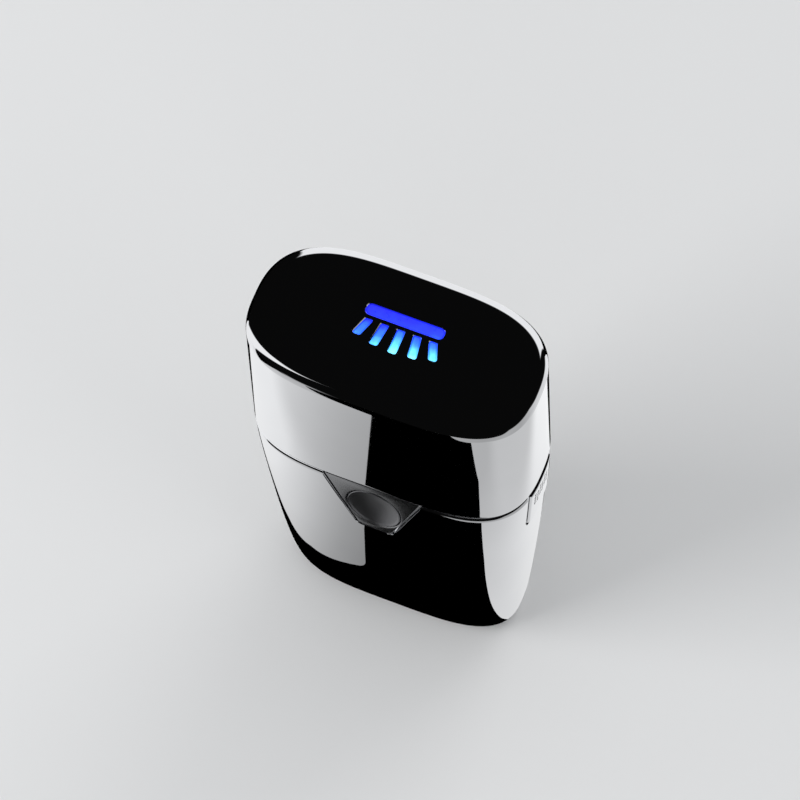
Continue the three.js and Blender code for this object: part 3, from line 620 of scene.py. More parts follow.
MAT = {
    "body_chrome": chrome("body_chrome_plate", (0.86, 0.865, 0.88)),
    "cap_chrome": chrome("cap_chrome_plate", (0.86, 0.865, 0.88)),
    "button_chrome": chrome("release_chrome_plate", (0.84, 0.845, 0.86)),
    "panel_dark": panel_grey(),
    "button_satin": button_satin(),
    "glow_window": glow("symbol_light_guide"),
    "black_plastic": plastic("black_moulding", (0.022, 0.022, 0.024), 0.42),
    "head_black": glossy("head_black_satin", (0.026, 0.026, 0.029), 0.27),
    "pale_plastic": plastic("acetal_moulding", (0.70, 0.70, 0.665), 0.40, depth=0.06, spread=0.04),
    "pad_rubber": rubber("pad_rubber_black"),
    "seal_rubber": rubber("seal_rubber_black", (0.045, 0.045, 0.048)),
    "foil_gold": steel("foil_gold_tone", (0.86, 0.62, 0.27), 0.24, (60, 1, 1), 0.05),
    "blade_steel": steel("blade_ground_steel", (0.66, 0.67, 0.68), 0.26, (1, 40, 40), 0.1),
    "spring_steel": steel("spring_wire", (0.66, 0.67, 0.69), 0.22, (1, 1, 30), 0.06),
    "screw_steel": steel("screw_zinc", (0.60, 0.61, 0.63), 0.34, (8, 8, 1), 0.08),
    "motor_steel": steel("motor_can_drawn", (0.62, 0.63, 0.65), 0.3, (1, 1, 50), 0.1),
    "contact_gold": steel("contact_gold_plate", (0.87, 0.66, 0.28), 0.2, (1, 1, 20), 0.05),
    "socket_steel": steel("socket_stamped", (0.7, 0.71, 0.72), 0.26, (1, 1, 24), 0.08),
    "board_green": board("board_green_mask", (0.02, 0.13, 0.055)),
    "board_blue": board("board_blue_mask", (0.018, 0.05, 0.2)),
    "chip_black": plastic("chip_epoxy", (0.02, 0.02, 0.021), 0.5, depth=0.2),
    "coil_copper": coilwire("coil_enamelled_wire"),
    "battery_wrap": glossy("battery_sleeve", (0.03, 0.14, 0.42), 0.2, 0.4),
    "pouch_foil": steel("pouch_foil_crinkle", (0.68, 0.69, 0.71), 0.34, (6, 6, 6), 0.5),
    "insulator_paper": plastic("fish_paper", (0.66, 0.62, 0.48), 0.75, 900, 0.3, 0.08),
    "quartz": clear("quartz_clear", (0.90, 0.95, 1.0), 0.02, 0.92),
    "led_package": plastic("led_ceramic", (0.74, 0.75, 0.72), 0.42, depth=0.08, spread=0.04),
    "light_pipe": clear("light_pipe_frosted", (0.82, 0.87, 0.90), 0.16, 0.75),
}
_m = M("led_lit_blue")
_c = _m.mix(_m.noise(900, 2), (0.05, 0.12, 0.8), (0.09, 0.2, 1.0))
_m.l(_c, _m.b.inputs["Base Color"])
_m.l(_c, _m.b.inputs["Emission Color"])
_m.set(Emission_Strength=1.5)
_m.l(_m.remap(_m.noise(500, 2), 0.25, 0.4), _m.b.inputs["Roughness"])
MAT["led_blue"] = _m.mat

_behaviour = frame["record"]["behaviour"]
BODY_OF = {n: b for b, ns in _behaviour["bodies"].items() for n in ns}

# ------------------------------------------------------------------ body shell
def q_arc(n):
    return np.linspace(0, math.pi / 2, n)


BODY_EDGE, BODY_TOP = 0.85, 80.4
body_patches = [
    (lambda T, A: body_surface(T, BASE_RISE + BASE_FILLET * (1 - np.cos(A)), BASE_FILLET * (1 - np.sin(A))), q_arc(10)),
    (lambda T, Z: body_surface(T, Z, 0.0), np.concatenate([np.linspace(BASE_RISE + BASE_FILLET, 40, 18), np.linspace(42, BODY_TOP - BODY_EDGE, 24)])),
    (lambda T, A: body_surface(T, BODY_TOP - BODY_EDGE * (1 - np.sin(A)), 0.75 * (1 - np.cos(A))), q_arc(9)),
]
body, body_fn = patches_object("body_shell_fine", body_patches)
body_memory = remember(body, body_fn)


def plain_loft(name, rings):
    """Closed loft through rings of points."""
    n = len(rings[0])
    verts = [p for r in rings for p in r]
    faces = []
    for k in range(len(rings) - 1):
        for i in range(n):
            j = (i + 1) % n
            faces.append((k * n + i, k * n + j, (k + 1) * n + j, (k + 1) * n + i))
    c0 = len(verts)
    verts.append(np.mean(rings[0], axis=0))
    verts.append(np.mean(rings[-1], axis=0))
    m = (len(rings) - 1) * n
    for i in range(n):
        j = (i + 1) % n
        faces.append((c0, j, i))
        faces.append((c0 + 1, m + i, m + j))
    return new_object(name, verts, faces)


def flat_ring(t, a, bf, bb, z):
    x, y = super_xy(t, a, bf, bb)
    return np.stack([x, y, np.full_like(x, z)], -1)


T96, T128 = outline_t(96), outline_t(128)
body_inner = plain_loft("cutter", [body_surface(T96, z, BODY_WALL) for z in (2.6, 6, 14, 26, 38, 50, 62, 74)]
                        + [flat_ring(T96, HALF_W - BODY_WALL, HALF_D - BODY_WALL, HALF_D - BODY_WALL, SEAM_Z + 3)])
g = 0.3
SEAT = rounded([(-PANEL_BOTTOM_HALF - g, SEAM_Z - PANEL_H - g), (PANEL_BOTTOM_HALF + g, SEAM_Z - PANEL_H - g),
                (PANEL_TOP_HALF + 0.6 + g, SEAM_Z + 1), (-PANEL_TOP_HALF - 0.6 - g, SEAM_Z + 1)], [1.8, 1.8, 0.01, 0.01], 14)
seat_cut = stack("cutter", [(-20.0, grow(SEAT, 1.1)), (-16.42, SEAT), (-15.35, SEAT)], "y")
hole = oval(BUTTON_HALF_W + 0.35, BUTTON_HALF_H + 0.35, 0, BTN_Z)
hole_cut = prism("cutter", hole, -20, -12, "y")


def side_half(z):
    return HALF_W * (1 - (np.maximum(0, 1 - z / SEAM_Z) / 2.18) ** 1.08) ** 0.365


def side_at(y, z):
    """The body end surface's X at a place across the end."""
    k = np.maximum(0, 1 - z / SEAM_Z)
    bf, bb = HALF_D - 4.2 * k * k - 2.95 * k ** 8, HALF_D - 0.6 * k * k - 1.2 * k ** 8
    b = np.where(np.asarray(y) < 0, bf, bb)
    return side_half(z) * (1 - (np.abs(y) / b) ** PLAN_Q) ** (1 / PLAN_P)


# windows of the release buttons, with a fine bevelled rim that follows the curved end
PLATE_HALF_W, PLATE_LOW_Z = RELEASE_HALF_W + 0.25, RELEASE_LOW_Z + 0.9
windows = []
for s in (-1, 1):
    pts = rounded([(-PLATE_HALF_W - 0.42, PLATE_LOW_Z - 0.42), (PLATE_HALF_W + 0.42, PLATE_LOW_Z - 0.42),
                   (PLATE_HALF_W + 0.42, 84), (-PLATE_HALF_W - 0.42, 84)], [1.2, 1.2, 0.05, 0.05], 8)
    levels = [(-5.0, 0.0), (-0.3, 0.0), (0.2, 0.34), (3.0, 0.5)]
    secs = []
    for dx, d in levels:
        q = np.array(grow(pts, d))
        secs.append([(s * (side_at(y, z) + dx), y, z) for y, z in q])
    m = len(pts)
    wf = [(k * m + i, k * m + (i + 1) % m, (k + 1) * m + (i + 1) % m, (k + 1) * m + i) for k in range(3) for i in range(m)]
    wf += [tuple(range(m - 1, -1, -1)), tuple(3 * m + i for i in range(m))]
    win = new_object("cutter", [v for r in secs for v in r], wf)
    fix_normals(win)
    windows.append(win)


pocket = plain_loft("cutter", [flat_ring(T96, 21.25, 5.55, 11.15, -0.5), flat_ring(T96, 20.9, 5.2, 10.8, 0.85), flat_ring(T96, 20.9, 5.2, 10.8, 1.3)])
cut(body, body_inner, seat_cut, hole_cut, *windows, pocket,
    prism("cutter", rect(9.9, 4.3, 2.1, 0, 2.6), -1, 4), lathe("cutter", [(0, -1), (1.3, -1), (1.3, 4), (0, 4)], at=(11, 2.6, 0)))
fix_normals(body)
give_normals(body, [body_memory])
put(body, "shaver", "body_chrome", "body_shell", mat=MAT["body_chrome"])

# ------------------------------------------------------------------ cap shell
CAP_LOW = SEAM_Z + 0.42
ZF = TOP_Z - CAP_CROWN - CAP_FILLET


def cap_drop(z):
    return 1 - smooth(z, 81.5, 103)


def crown(T, S):
    x, y = super_xy(T, HALF_W - CAP_FILLET, HALF_D * TOP_FRONT_SCALE - CAP_FILLET, HALF_D - CAP_FILLET)
    return np.stack([x * (1 - S), y * (1 - S), TOP_Z - CAP_CROWN * (1 - S) ** 2], -1)


def cap_edge(T, A):
    z = CAP_LOW + 1.1 * (1 - np.cos(A))
    return cap_surface(T, z, 0.5 * (1 - np.sin(A)), cap_drop(z))


cap_patches = [
    (cap_edge, q_arc(8)),
    (lambda T, Z: cap_surface(T, Z, 0.0, cap_drop(Z)), np.linspace(CAP_LOW + 1.1, ZF, 34)),
    (lambda T, A: cap_surface(T, ZF + CAP_FILLET * np.sin(A), CAP_FILLET * (1 - np.cos(A)), 0.0), q_arc(12)),
    (crown, np.concatenate([np.linspace(0, 0.9, 10), [0.97]])),
]
cap, cap_fn = patches_object("cap_shell_fine", cap_patches, tip_high=(0, 0, TOP_Z))
cap_memory = remember(cap, cap_fn)
cap_inner = plain_loft("cutter", [cap_surface(T96, np.full(96, z), i, 0.0) for z, i in ((70, CAP_WALL), (SEAM_Z, CAP_WALL), (100, CAP_WALL), (117.6, CAP_WALL), (118.5, CAP_WALL + 0.4), (118.9, CAP_WALL + 1.1))])


def symbol(d=0.0, seg=5):
    """The lamp-and-rays symbol's outlines, grown by d."""
    y = 1.9
    shapes = [rect(2 * GLYPH_HALF_W + 2 * d, 2.5 + 2 * d, 1.0 + d * 0.5, 0, y + 3.1, seg)]
    for x0, x1, ln in ((-6.9, -8.3, 3.9), (-3.5, -4.2, 4.9), (0, 0, 5.3), (3.5, 4.2, 4.9), (6.9, 8.3, 3.9)):
        y0, y1, h = y + 0.95, y + 0.95 - ln, 0.8 + d
        shapes.append(rounded([(x1 - h, y1 - d), (x1 + h, y1 - d), (x0 + h, y0 + d), (x0 - h, y0 + d)], 0.35, seg))
    return shapes


cut(cap, cap_inner)
for p in symbol():
    # each cut-out has a small bevelled rim
    cut(cap, stack("cutter", [(117.0, p), (120.58, p), (120.78, grow(p, 0.16)), (122.3, grow(p, 0.2))]))
fix_normals(cap)
give_normals(cap, [cap_memory])
put(cap, "uv_cap", "cap_chrome", "cap_shell", mat=MAT["cap_chrome"])

# symbol light guide
guide = rimmed("glyph_window_fine", rect(20.4, 12.8, 1.5, 0, 2.5), 117.5, 118.6, 0.2)
for p in symbol(-0.12):
    cut(guide, stack("cutter", [(118.4, p), (120.3, p), (120.45, grow(p, -0.12))]), op="UNION")
fix_normals(guide)
shade(guide)
put(guide, "uv_cap", "glow_window", "glyph_window", mat=MAT["glow_window"])

# ------------------------------------------------------------------ switch panel, power button
PANEL = rounded([(-PANEL_BOTTOM_HALF, SEAM_Z - PANEL_H), (PANEL_BOTTOM_HALF, SEAM_Z - PANEL_H),
                 (PANEL_TOP_HALF, SEAM_Z - 0.45), (-PANEL_TOP_HALF, SEAM_Z - 0.45)], [1.6, 1.6, 0.3, 0.3], 12)


def facing_plate(name, pts, y_face, y_back, r, hole_pts, hole_r):
    """A plate facing -Y with rounded front rim and a rounded lip round its hole."""
    secs = [(y_back, pts), (y_face + r, pts)] + [(y_face + r * (1 - math.sin(q)), grow(pts, -r * (1 - math.cos(q)))) for q in q_arc(5)[1:]]
    o = stack(name, secs, "y")
    hs = [(y_back + 1, hole_pts), (y_face + hole_r, hole_pts)] + [(y_face + hole_r * (1 - math.sin(q)), grow(hole_pts, hole_r * (1 - math.cos(q)))) for q in q_arc(5)[1:]]
    hs.append((y_face - 1, grow(hole_pts, hole_r)))
    return cut(o, stack("cutter", hs, "y"))


panel = facing_plate("switch_panel_fine", PANEL, PANEL_FACE_Y, -15.6, 0.18, oval(BUTTON_HALF_W + 0.3, BUTTON_HALF_H + 0.3, 0, BTN_Z), 0.22)
fix_normals(panel)
shade(panel, 40)
put(panel, "shaver", "panel_dark", "switch_panel", mat=MAT["panel_dark"])

# dished button: dish, rolled rim, skirt, retaining flange, plunger
dish = [(k, -15.22 - 1.3 * k ** 2.6) for k in (0.12, 0.25, 0.4, 0.52, 0.64, 0.74, 0.82, 0.88, 0.925)]
prof = dish + [(0.945, -16.43), (0.962, -16.5), (0.978, -16.52), (0.99, -16.47), (1.0, -16.33), (1.0, -14.15)]
bs = [(y, oval(BUTTON_HALF_W * k, BUTTON_HALF_H * k, 0, BTN_Z)) for k, y in prof]
fl = [(1.0, -14.15), (1.1, -14.05), (1.1, -13.35), (1.0, -13.25)]
bs += [(y, oval(BUTTON_HALF_W + f, BUTTON_HALF_H + f, 0, BTN_Z)) for f, y in fl]
bs += [(-13.25, oval(1.6, 1.6, 0, BTN_Z)), (-12.6, oval(1.55, 1.55, 0, BTN_Z)), (-12.5, oval(1.4, 1.4, 0, BTN_Z))]
button = stack("power_button_fine", bs, "y")
shade(button, 40)
put(button, "power_button", "button_satin", "power_button", mat=MAT["button_satin"])

# ------------------------------------------------------------------ release buttons
for s, tag in ((-1, "left"), (1, "right")):
    # the plate is a fine height grid over the end, from its lower edge to the parting line
    hw, zl = PLATE_HALF_W, PLATE_LOW_Z
    ys = np.linspace(-hw, hw, 115)
    us = np.linspace(0, 1, 181)
    zt = SEAM_Z - END_DIP - 0.45
    verts, faces = [], []
    Y, U = np.meshgrid(ys, us)
    Z = zl + (zt - zl) * U
    edge = np.minimum(np.minimum(hw - np.abs(Y), Z - zl), zt - Z)
    corner = np.hypot(np.maximum(0, np.abs(Y) - (hw - 0.9)), np.maximum(0, (zl + 0.9) - Z))
    edge = np.minimum(edge, np.where((np.abs(Y) > hw - 0.9) & (Z < zl + 0.9), 0.9 - corner, 9))
    # a rounded rim stands the face slightly proud of the body
    rim = 1 - np.sqrt(np.clip(1 - (1 - np.clip(edge / 0.5, 0, 1)) ** 2, 0, 1))
    # staggered round pits in the upper part, for the fingertip
    dots = np.zeros_like(Y)
    for r in range(4):
        for c in range(6):
            cy = -0.5 + (c - 2.5) * 1.2
            cz = 75.4 - r * 1.5 - (0.0 if c % 2 == 0 else 0.75)
            d = np.hypot(Y - cy, Z - cz)
            dots = np.maximum(dots, 1 - smooth(d, 0.34, 0.48))
    face = side_at(Y, Z) + 0.40 - 0.95 * rim - 0.85 * dots
    n0, n1 = Y.shape
    for a in range(n0):
        for b in range(n1):
            verts.append((s * face[a, b], Y[a, b], Z[a, b]))
    back0 = len(verts)
    for a in range(n0):
        for b in range(n1):
            verts.append((s * 28.6, Y[a, b], Z[a, b]))
    idx = lambda a, b: a * n1 + b
    for a in range(n0 - 1):
        for b in range(n1 - 1):
            faces.append((idx(a, b), idx(a, b + 1), idx(a + 1, b + 1), idx(a + 1, b)))
    border = [idx(0, b) for b in range(n1)] + [idx(a, n1 - 1) for a in range(1, n0)] + [idx(n0 - 1, b) for b in range(n1 - 2, -1, -1)] + [idx(a, 0) for a in range(n0 - 2, 0, -1)]
    m = len(border)
    for k in range(m):
        p, q = border[k], border[(k + 1) % m]
        faces.append((p, q, q + back0, p + back0))
    faces.append(tuple(p + back0 for p in border))
    used = sorted(set(i for f in faces for i in f))
    remap = {i: k for k, i in enumerate(used)}
    rb = new_object(f"release_button_{tag}_fine", [verts[i] for i in used], [tuple(remap[i] for i in f) for f in faces])
    fix_normals(rb)
    cut(rb, prism("cutter", rect(2 * RELEASE_HALF_W - 1.2, 73.6 - RELEASE_LOW_Z - 0.6, 0.6, 0, (73.6 + RELEASE_LOW_Z + 0.6) / 2), min(s * 26.5, s * 28.8), max(s * 26.5, s * 28.8), "x"), op="UNION")
    cut(rb, prism("cutter", rect(11.8, 73.6 - RELEASE_LOW_Z + 0.8, 0.6, 0, (73.6 + RELEASE_LOW_Z - 0.8) / 2), min(s * 26.1, s * 26.6), max(s * 26.1, s * 26.6), "x"), op="UNION")
    fix_normals(rb)
    shade(rb, 50)
    put(rb, f"release_{tag}", "button_chrome", f"release_button_{tag}", mat=MAT["button_chrome"])

# ------------------------------------------------------------------ base pad and socket
pad = plain_loft("base_pad_fine", [flat_ring(T128, 20.1, 4.4, 10.0, 0.0), flat_ring(T128, 20.35, 4.65, 10.25, 0.06), flat_ring(T128, 20.52, 4.82, 10.42, 0.2),
                                   flat_ring(T128, 20.6, 4.9, 10.5, 0.4), flat_ring(T128, 20.6, 4.9, 10.5, 1.1)])
cuts = [prism("cutter", rect(9.9, 4.3, 2.1, 0, 2.6), -1, 4), lathe("cutter", [(0, -1), (1.3, -1), (1.3, 4), (0, 4)], at=(11, 2.6, 0))]
# grip grooves across both ends of the pad
for x in (-17.4, -15.6, -13.8, -12.0, 14.6, 16.4):
    k = 1 - (abs(x) / 20.6) ** PLAN_P
    y0, y1 = -4.9 * k ** (1 / PLAN_Q) + 1.0, 10.5 * k ** (1 / PLAN_Q) - 1.0
    cuts.append(prism("cutter", rect(0.7, y1 - y0, 0.34, x, (y0 + y1) / 2), -0.5, 0.32))
cut(pad, *cuts)
fix_normals(pad)
shade(pad, 35)
put(pad, "shaver", "pad_rubber", "base_pad", mat=MAT["pad_rubber"])

FINE_DONE = {"body_shell", "cap_shell", "glyph_window", "switch_panel", "power_button", "release_button_left", "release_button_right", "base_pad"}


# ------------------------------------------------------------------ foil head, with its foils pierced
def head_ring(t, a, b, z):
    x, y = super_xy(t, a, b, b)
    return np.stack([x, y, np.full_like(x, z)], -1)


HA, HB = 26.5, 12.4
rings = [head_ring(T128, HA - 0.35, HB - 0.35, 86.35), head_ring(T128, HA - 0.1, HB - 0.1, 86.45), head_ring(T128, HA, HB, 86.7)]
rings += [head_ring(T128, HA, HB, z) for z in (88.2,)]
# a shallow decorative groove round the frame
rings += [head_ring(T128, HA - 0.28, HB - 0.28, 88.4), head_ring(T128, HA - 0.28, HB - 0.28, 89.0), head_ring(T128, HA, HB, 89.2)]
rings += [head_ring(T128, HA, HB, 94.6)]
for q in np.linspace(0, math.pi / 2, 8)[1:]:
    rings.append(head_ring(T128, HA - 1.9 * (1 - math.cos(q)), HB - 1.7 * (1 - math.cos(q)), 94.6 + 2.6 * math.sin(q)))
head = plain_loft("head_frame_fine", rings)
fix_normals(head)
cut(head, plain_loft("cutter", [head_ring(T96, 23.6, 10.7, z) for z in (82.4, 87.0)]), op="UNION")
cut(head, plain_loft("cutter", [head_ring(T96, 22.4, 9.5, z) for z in (80, 89.2)]),
    stack("cutter", [(89.0, rect(39.4, 20.1, 1.0)), (96.75, rect(39.4, 20.1, 1.0)), (97.3, rect(40.2, 20.9, 1.4)), (99, rect(40.2, 20.9, 1.4))]),
    prism("cutter", rect(5.2, 1.8, 0.2, 0, 83.7), -24.2, -23.2, "x"), prism("cutter", rect(5.2, 1.8, 0.2, 0, 83.7), 23.2, 24.2, "x"))
fix_normals(head)
shade(head, 30)
put(head, "foil_head", "head_black", "head_frame", mat=MAT["head_black"])


def pierced_foil(name, yc):
    """A thin arched foil with staggered hexagonal holes over the arch and plain margins; closed, with real thickness."""
    th = 0.09
    R = FOIL_R - 0.02
    pitch = 0.82
    hole = 0.30
    arc_len = math.pi * R
    flat_side = FOIL_AXIS_Z - 95.3
    # flat pattern: u along the foil's length, v across, measured from the crown
    cols = int((2 * FOIL_HALF_L - 1.4) / pitch)
    rh = pitch * math.sqrt(3) / 2
    rows = int((arc_len - 1.6) / rh)
    if rows % 2 == 0:
        rows -= 1
    key = {}
    verts2, faces2 = [], []

    def vid(u, v):
        k = (round(u, 4), round(v, 4))
        if k not in key:
            key[k] = len(verts2)
            verts2.append((u, v))
        return key[k]

    s = pitch / math.sqrt(3)
    for r in range(rows):
        v0 = (r - (rows - 1) / 2) * rh
        n = cols if r % 2 == 0 else cols - 1
        for c in range(n):
            u0 = (c - (n - 1) / 2) * pitch
            outer = [vid(u0 + s * math.cos(math.pi / 6 + k * math.pi / 3), v0 + s * math.sin(math.pi / 6 + k * math.pi / 3)) for k in range(6)]
            inner = [vid(u0 + hole * math.cos(math.pi / 6 + k * math.pi / 3), v0 + hole * math.sin(math.pi / 6 + k * math.pi / 3)) for k in range(6)]
            for k in range(6):
                j = (k + 1) % 6
                faces2.append((outer[k], outer[j], inner[j], inner[k]))
    # the margin: bridge the pattern's ragged border to a plain rectangle with bmesh
    bm = bmesh.new()
    bv = [bm.verts.new((u, v, 0)) for u, v in verts2]
    for f in faces2:
        bm.faces.new([bv[i] for i in f])
    bm.verts.ensure_lookup_table()
    bm.edges.ensure_lookup_table()
    border = [e for e in bm.edges if e.is_boundary]
    loops, seen = [], set()
    adj = {}
    for e in border:
        for a, b in ((e.verts[0], e.verts[1]), (e.verts[1], e.verts[0])):
            adj.setdefault(a, []).append(b)
    for v in adj:
        if v in seen:
            continue
        loop, cur, prev = [], v, None
        while True:
            loop.append(cur)
            seen.add(cur)
            nxt = [w for w in adj[cur] if w is not prev and w not in seen]
            if not nxt:
                break
            prev, cur = cur, nxt[0]
        loops.append(loop)
    big = max(loops, key=len)
    U, V = FOIL_HALF_L, arc_len / 2 + flat_side
    # project each border vertex straight out to the rectangle
    umax, vmax = (cols - 1) / 2 * pitch + s, (rows - 1) / 2 * rh + s
    outv = []
    for w in big:
        u, v = w.co.x, w.co.y
        if abs(u) / umax > abs(v) / vmax:
            p = (math.copysign(U, u), v)
        else:
            p = (u, math.copysign(V, v))
        outv.append(p)
    n = len(big)
    ov = [bm.verts.new((p[0], p[1], 0)) for p in outv]
    for k in range(n):
        j = (k + 1) % n
        a, b = outv[k], outv[j]
        corner = None
        if abs(abs(a[0]) - U) < 1e-9 and abs(abs(b[1]) - V) < 1e-9 and abs(abs(a[1]) - V) > 1e-9:
            corner = (a[0], b[1])
        elif abs(abs(b[0]) - U) < 1e-9 and abs(abs(a[1]) - V) < 1e-9 and abs(abs(b[1]) - V) > 1e-9:
            corner = (b[0], a[1])
        if corner:
            cvx = bm.verts.new((corner[0], corner[1], 0))
            bm.faces.new((big[k], big[j], ov[j], cvx, ov[k]))
        else:
            bm.faces.new((big[k], big[j], ov[j], ov[k]))
    bmesh.ops.recalc_face_normals(bm, faces=bm.faces)
    # cut the plain margins across, so that they bend smoothly
    for v in [k * rh / 2 for k in range(-int(V / rh * 2), int(V / rh * 2) + 1)]:
        sel = [f for f in bm.faces if len(f.verts) >= 4 and max(abs(x.co.x) for x in f.verts) > umax - 0.2 and max(x.co.y for x in f.verts) > v + 1e-4 and min(x.co.y for x in f.verts) < v - 1e-4]
        if sel:
            geom = list({e for f in sel for e in f.edges} | {x for f in sel for x in f.verts} | set(sel))
            bmesh.ops.bisect_plane(bm, geom=geom, plane_co=(0, v, 0), plane_no=(0, 1, 0))
    for v in list(np.linspace(arc_len / 2 - 1.2, arc_len / 2, 5)):
        for sg in (-1, 1):
            bmesh.ops.bisect_plane(bm, geom=list(bm.verts) + list(bm.edges) + list(bm.faces), plane_co=(0, sg * v, 0), plane_no=(0, 1, 0))
    me = bpy.data.meshes.new(name)
    bm.to_mesh(me)
    bm.free()
    co = np.zeros(len(me.vertices) * 3)
    me.vertices.foreach_get("co", co)
    co = co.reshape(-1, 3)

    def bend(off):
        u, v = co[:, 0], co[:, 1]
        a = np.clip(v / (arc_len / 2), -1, 1) * (math.pi / 2)
        extra = np.maximum(0, np.abs(v) - arc_len / 2)
        r = R - off
        y = yc + np.sin(a) * r
        z = FOIL_AXIS_Z + np.cos(a) * r - extra
        return np.stack([u, y, z], 1)
    top, bot = bend(0.0), bend(th)
    polys = [tuple(p.vertices) for p in me.polygons]
    nv = len(co)
    em = {}
    for p in polys:
        for i in range(len(p)):
            a, b = p[i], p[(i + 1) % len(p)]
            em[(a, b)] = em.get((a, b), 0) + 1
    faces = list(polys) + [tuple(i + nv for i in reversed(p)) for p in polys]
    for (a, b) in em:
        if (b, a) not in em:
            faces.append((b, a, a + nv, b + nv))
    bpy.data.meshes.remove(me)
    o = new_object(name, np.vstack([top, bot]), faces)
    bm = bmesh.new()
    bm.from_mesh(o.data)
    bmesh.ops.recalc_face_normals(bm, faces=bm.faces)
    bm.to_mesh(o.data)
    bm.free()
    shade(o, 40)
    return o


for yc, tag in ((-FOIL_Y, "front"), (FOIL_Y, "rear")):
    f = pierced_foil(f"foil_{tag}_fine", yc)
    put(f, f"foil_{tag}", "foil_gold", f"foil_{tag}", mat=MAT["foil_gold"])

FINE_DONE |= {"head_frame", "foil_front", "foil_rear"}

# ------------------------------------------------------------------ every other node: welded, rims bevelled, smooth by angle
SLOT_OF = {}
for mrow in frame["record"]["materials"]:
    for nn in mrow.get("nodes", []) or []:
        SLOT_OF[nn] = mrow["slot"]


def node_slot(n):
    if n in SLOT_OF:
        return SLOT_OF[n]
    o = NODES[n]
    names = [m.name for m in o.data.materials if m]
    for nm in names:
        base = nm.split(".")[0]
        if base in MAT:
            return base
    return None


BEVEL = {"default": 0.10}
BEVEL.update({n: 0.0 for n in NODES if n.startswith("cutter_spring")})
BEVEL.update({"top_deck": 0.16, "cap_liner": 0.18, "drive_bracket": 0.22, "neck_seal": 0.22, "chassis": 0.2, "battery_insulator": 0.03,
              "battery_tab_positive": 0.05, "battery_tab_negative": 0.05, "latch_leaf_left": 0.06, "latch_leaf_right": 0.06,
              "cutter_front": 0.06, "cutter_rear": 0.06, "button_seal": 0.08, "motor_can": 0.2, "battery_cell": 0.0})


def refine(n):
    src = NODES[n]
    me = src.data.copy()
    me.name = n + "_fine"
    o = bpy.data.objects.new(n + "_fine", me)
    bpy.context.scene.collection.objects.link(o)
    bm = bmesh.new()
    bm.from_mesh(me)
    bmesh.ops.remove_doubles(bm, verts=bm.verts, dist=2e-6)
    bmesh.ops.dissolve_degenerate(bm, dist=1e-6, edges=bm.edges)
    bmesh.ops.dissolve_limit(bm, angle_limit=math.radians(0.6), verts=bm.verts, edges=bm.edges)
    bmesh.ops.recalc_face_normals(bm, faces=bm.faces)
    bm.to_mesh(me)
    bm.free()
    w = BEVEL.get(n, BEVEL["default"])
    if w > 0:
        m = o.modifiers.new("bev", "BEVEL")
        m.width = w * MM
        m.segments = 2
        m.limit_method = "ANGLE"
        m.angle_limit = math.radians(38)
        m.use_clamp_overlap = True
        apply_mods(o)
    bm = bmesh.new()
    bm.from_mesh(o.data)
    bad = [e for e in bm.edges if not e.is_manifold]
    bm.free()
    if bad:  # an awkward corner: keep the welded shape without its bevel
        o.data = src.data.copy()
        bm = bmesh.new()
        bm.from_mesh(o.data)
        bmesh.ops.remove_doubles(bm, verts=bm.verts, dist=2e-6)
        bmesh.ops.recalc_face_normals(bm, faces=bm.faces)
        bm.to_mesh(o.data)
        bm.free()
        print("REFINE plain", n, len(bad))
    shade(o, 32)
    s = node_slot(n)
    put(o, BODY_OF[n], s, n, mat=MAT[s])
    return o


for n in sorted(NODES):
    if n not in FINE_DONE:
        refine(n)

# ------------------------------------------------------------------ camera
AZ, EL, ROLL = math.radians(26.19), math.radians(66.9), math.radians(-4.41)
fwd = -np.array([math.sin(AZ) * math.cos(EL), -math.cos(AZ) * math.cos(EL), math.sin(EL)])
rgt = np.array([math.cos(AZ), math.sin(AZ), 0.0])
up = np.cross(rgt, fwd)
r2 = rgt * math.cos(ROLL) + up * math.sin(ROLL)
u2 = -rgt * math.sin(ROLL) + up * math.cos(ROLL)
target = np.array([0, 0, 91.17]) - 0.082 * r2
eye = (target - fwd * (1500 * 62 / 68)) * MM
cd = bpy.data.cameras.new("camera")
cam = bpy.data.objects.new("camera", cd)
bpy.context.scene.collection.objects.link(cam)
cam.matrix_world = Matrix([[r2[0], u2[0], -fwd[0], eye[0]], [r2[1], u2[1], -fwd[1], eye[1]], [r2[2], u2[2], -fwd[2], eye[2]], [0, 0, 0, 1]])
cd.lens = 300.98
cd.sensor_width = 36
cd.clip_start, cd.clip_end = 0.05, 50
cd.dof.use_dof = False
bpy.context.scene.camera = cam


# ------------------------------------------------------------------ studio
def only_reflected(o):
    o.visible_camera = o.visible_diffuse = o.visible_shadow = o.visible_transmission = o.visible_volume_scatter = False
    o.visible_glossy = True


def card_material(name, strength=1.0):
    mat = bpy.data.materials.new(name)
    mat.use_nodes = True
    t = mat.node_tree
    t.nodes.clear()
    out = t.nodes.new("ShaderNodeOutputMaterial")
    em = t.nodes.new("ShaderNodeEmission")
    at = t.nodes.new("ShaderNodeAttribute")
    at.attribute_name = "glow"
    cm = t.nodes.new("ShaderNodeCombineColor")
    for i, k in enumerate((0.985, 0.992, 1.0)):
        mm = t.nodes.new("ShaderNodeMath")
        mm.operation = "MULTIPLY"
        mm.inputs[1].default_value = k
        t.links.new(at.outputs["Fac"], mm.inputs[0])
        t.links.new(mm.outputs[0], cm.inputs[i])
    t.links.new(cm.outputs[0], em.inputs["Color"])
    em.inputs["Strength"].default_value = strength
    t.links.new(em.outputs[0], out.inputs[0])
    return mat


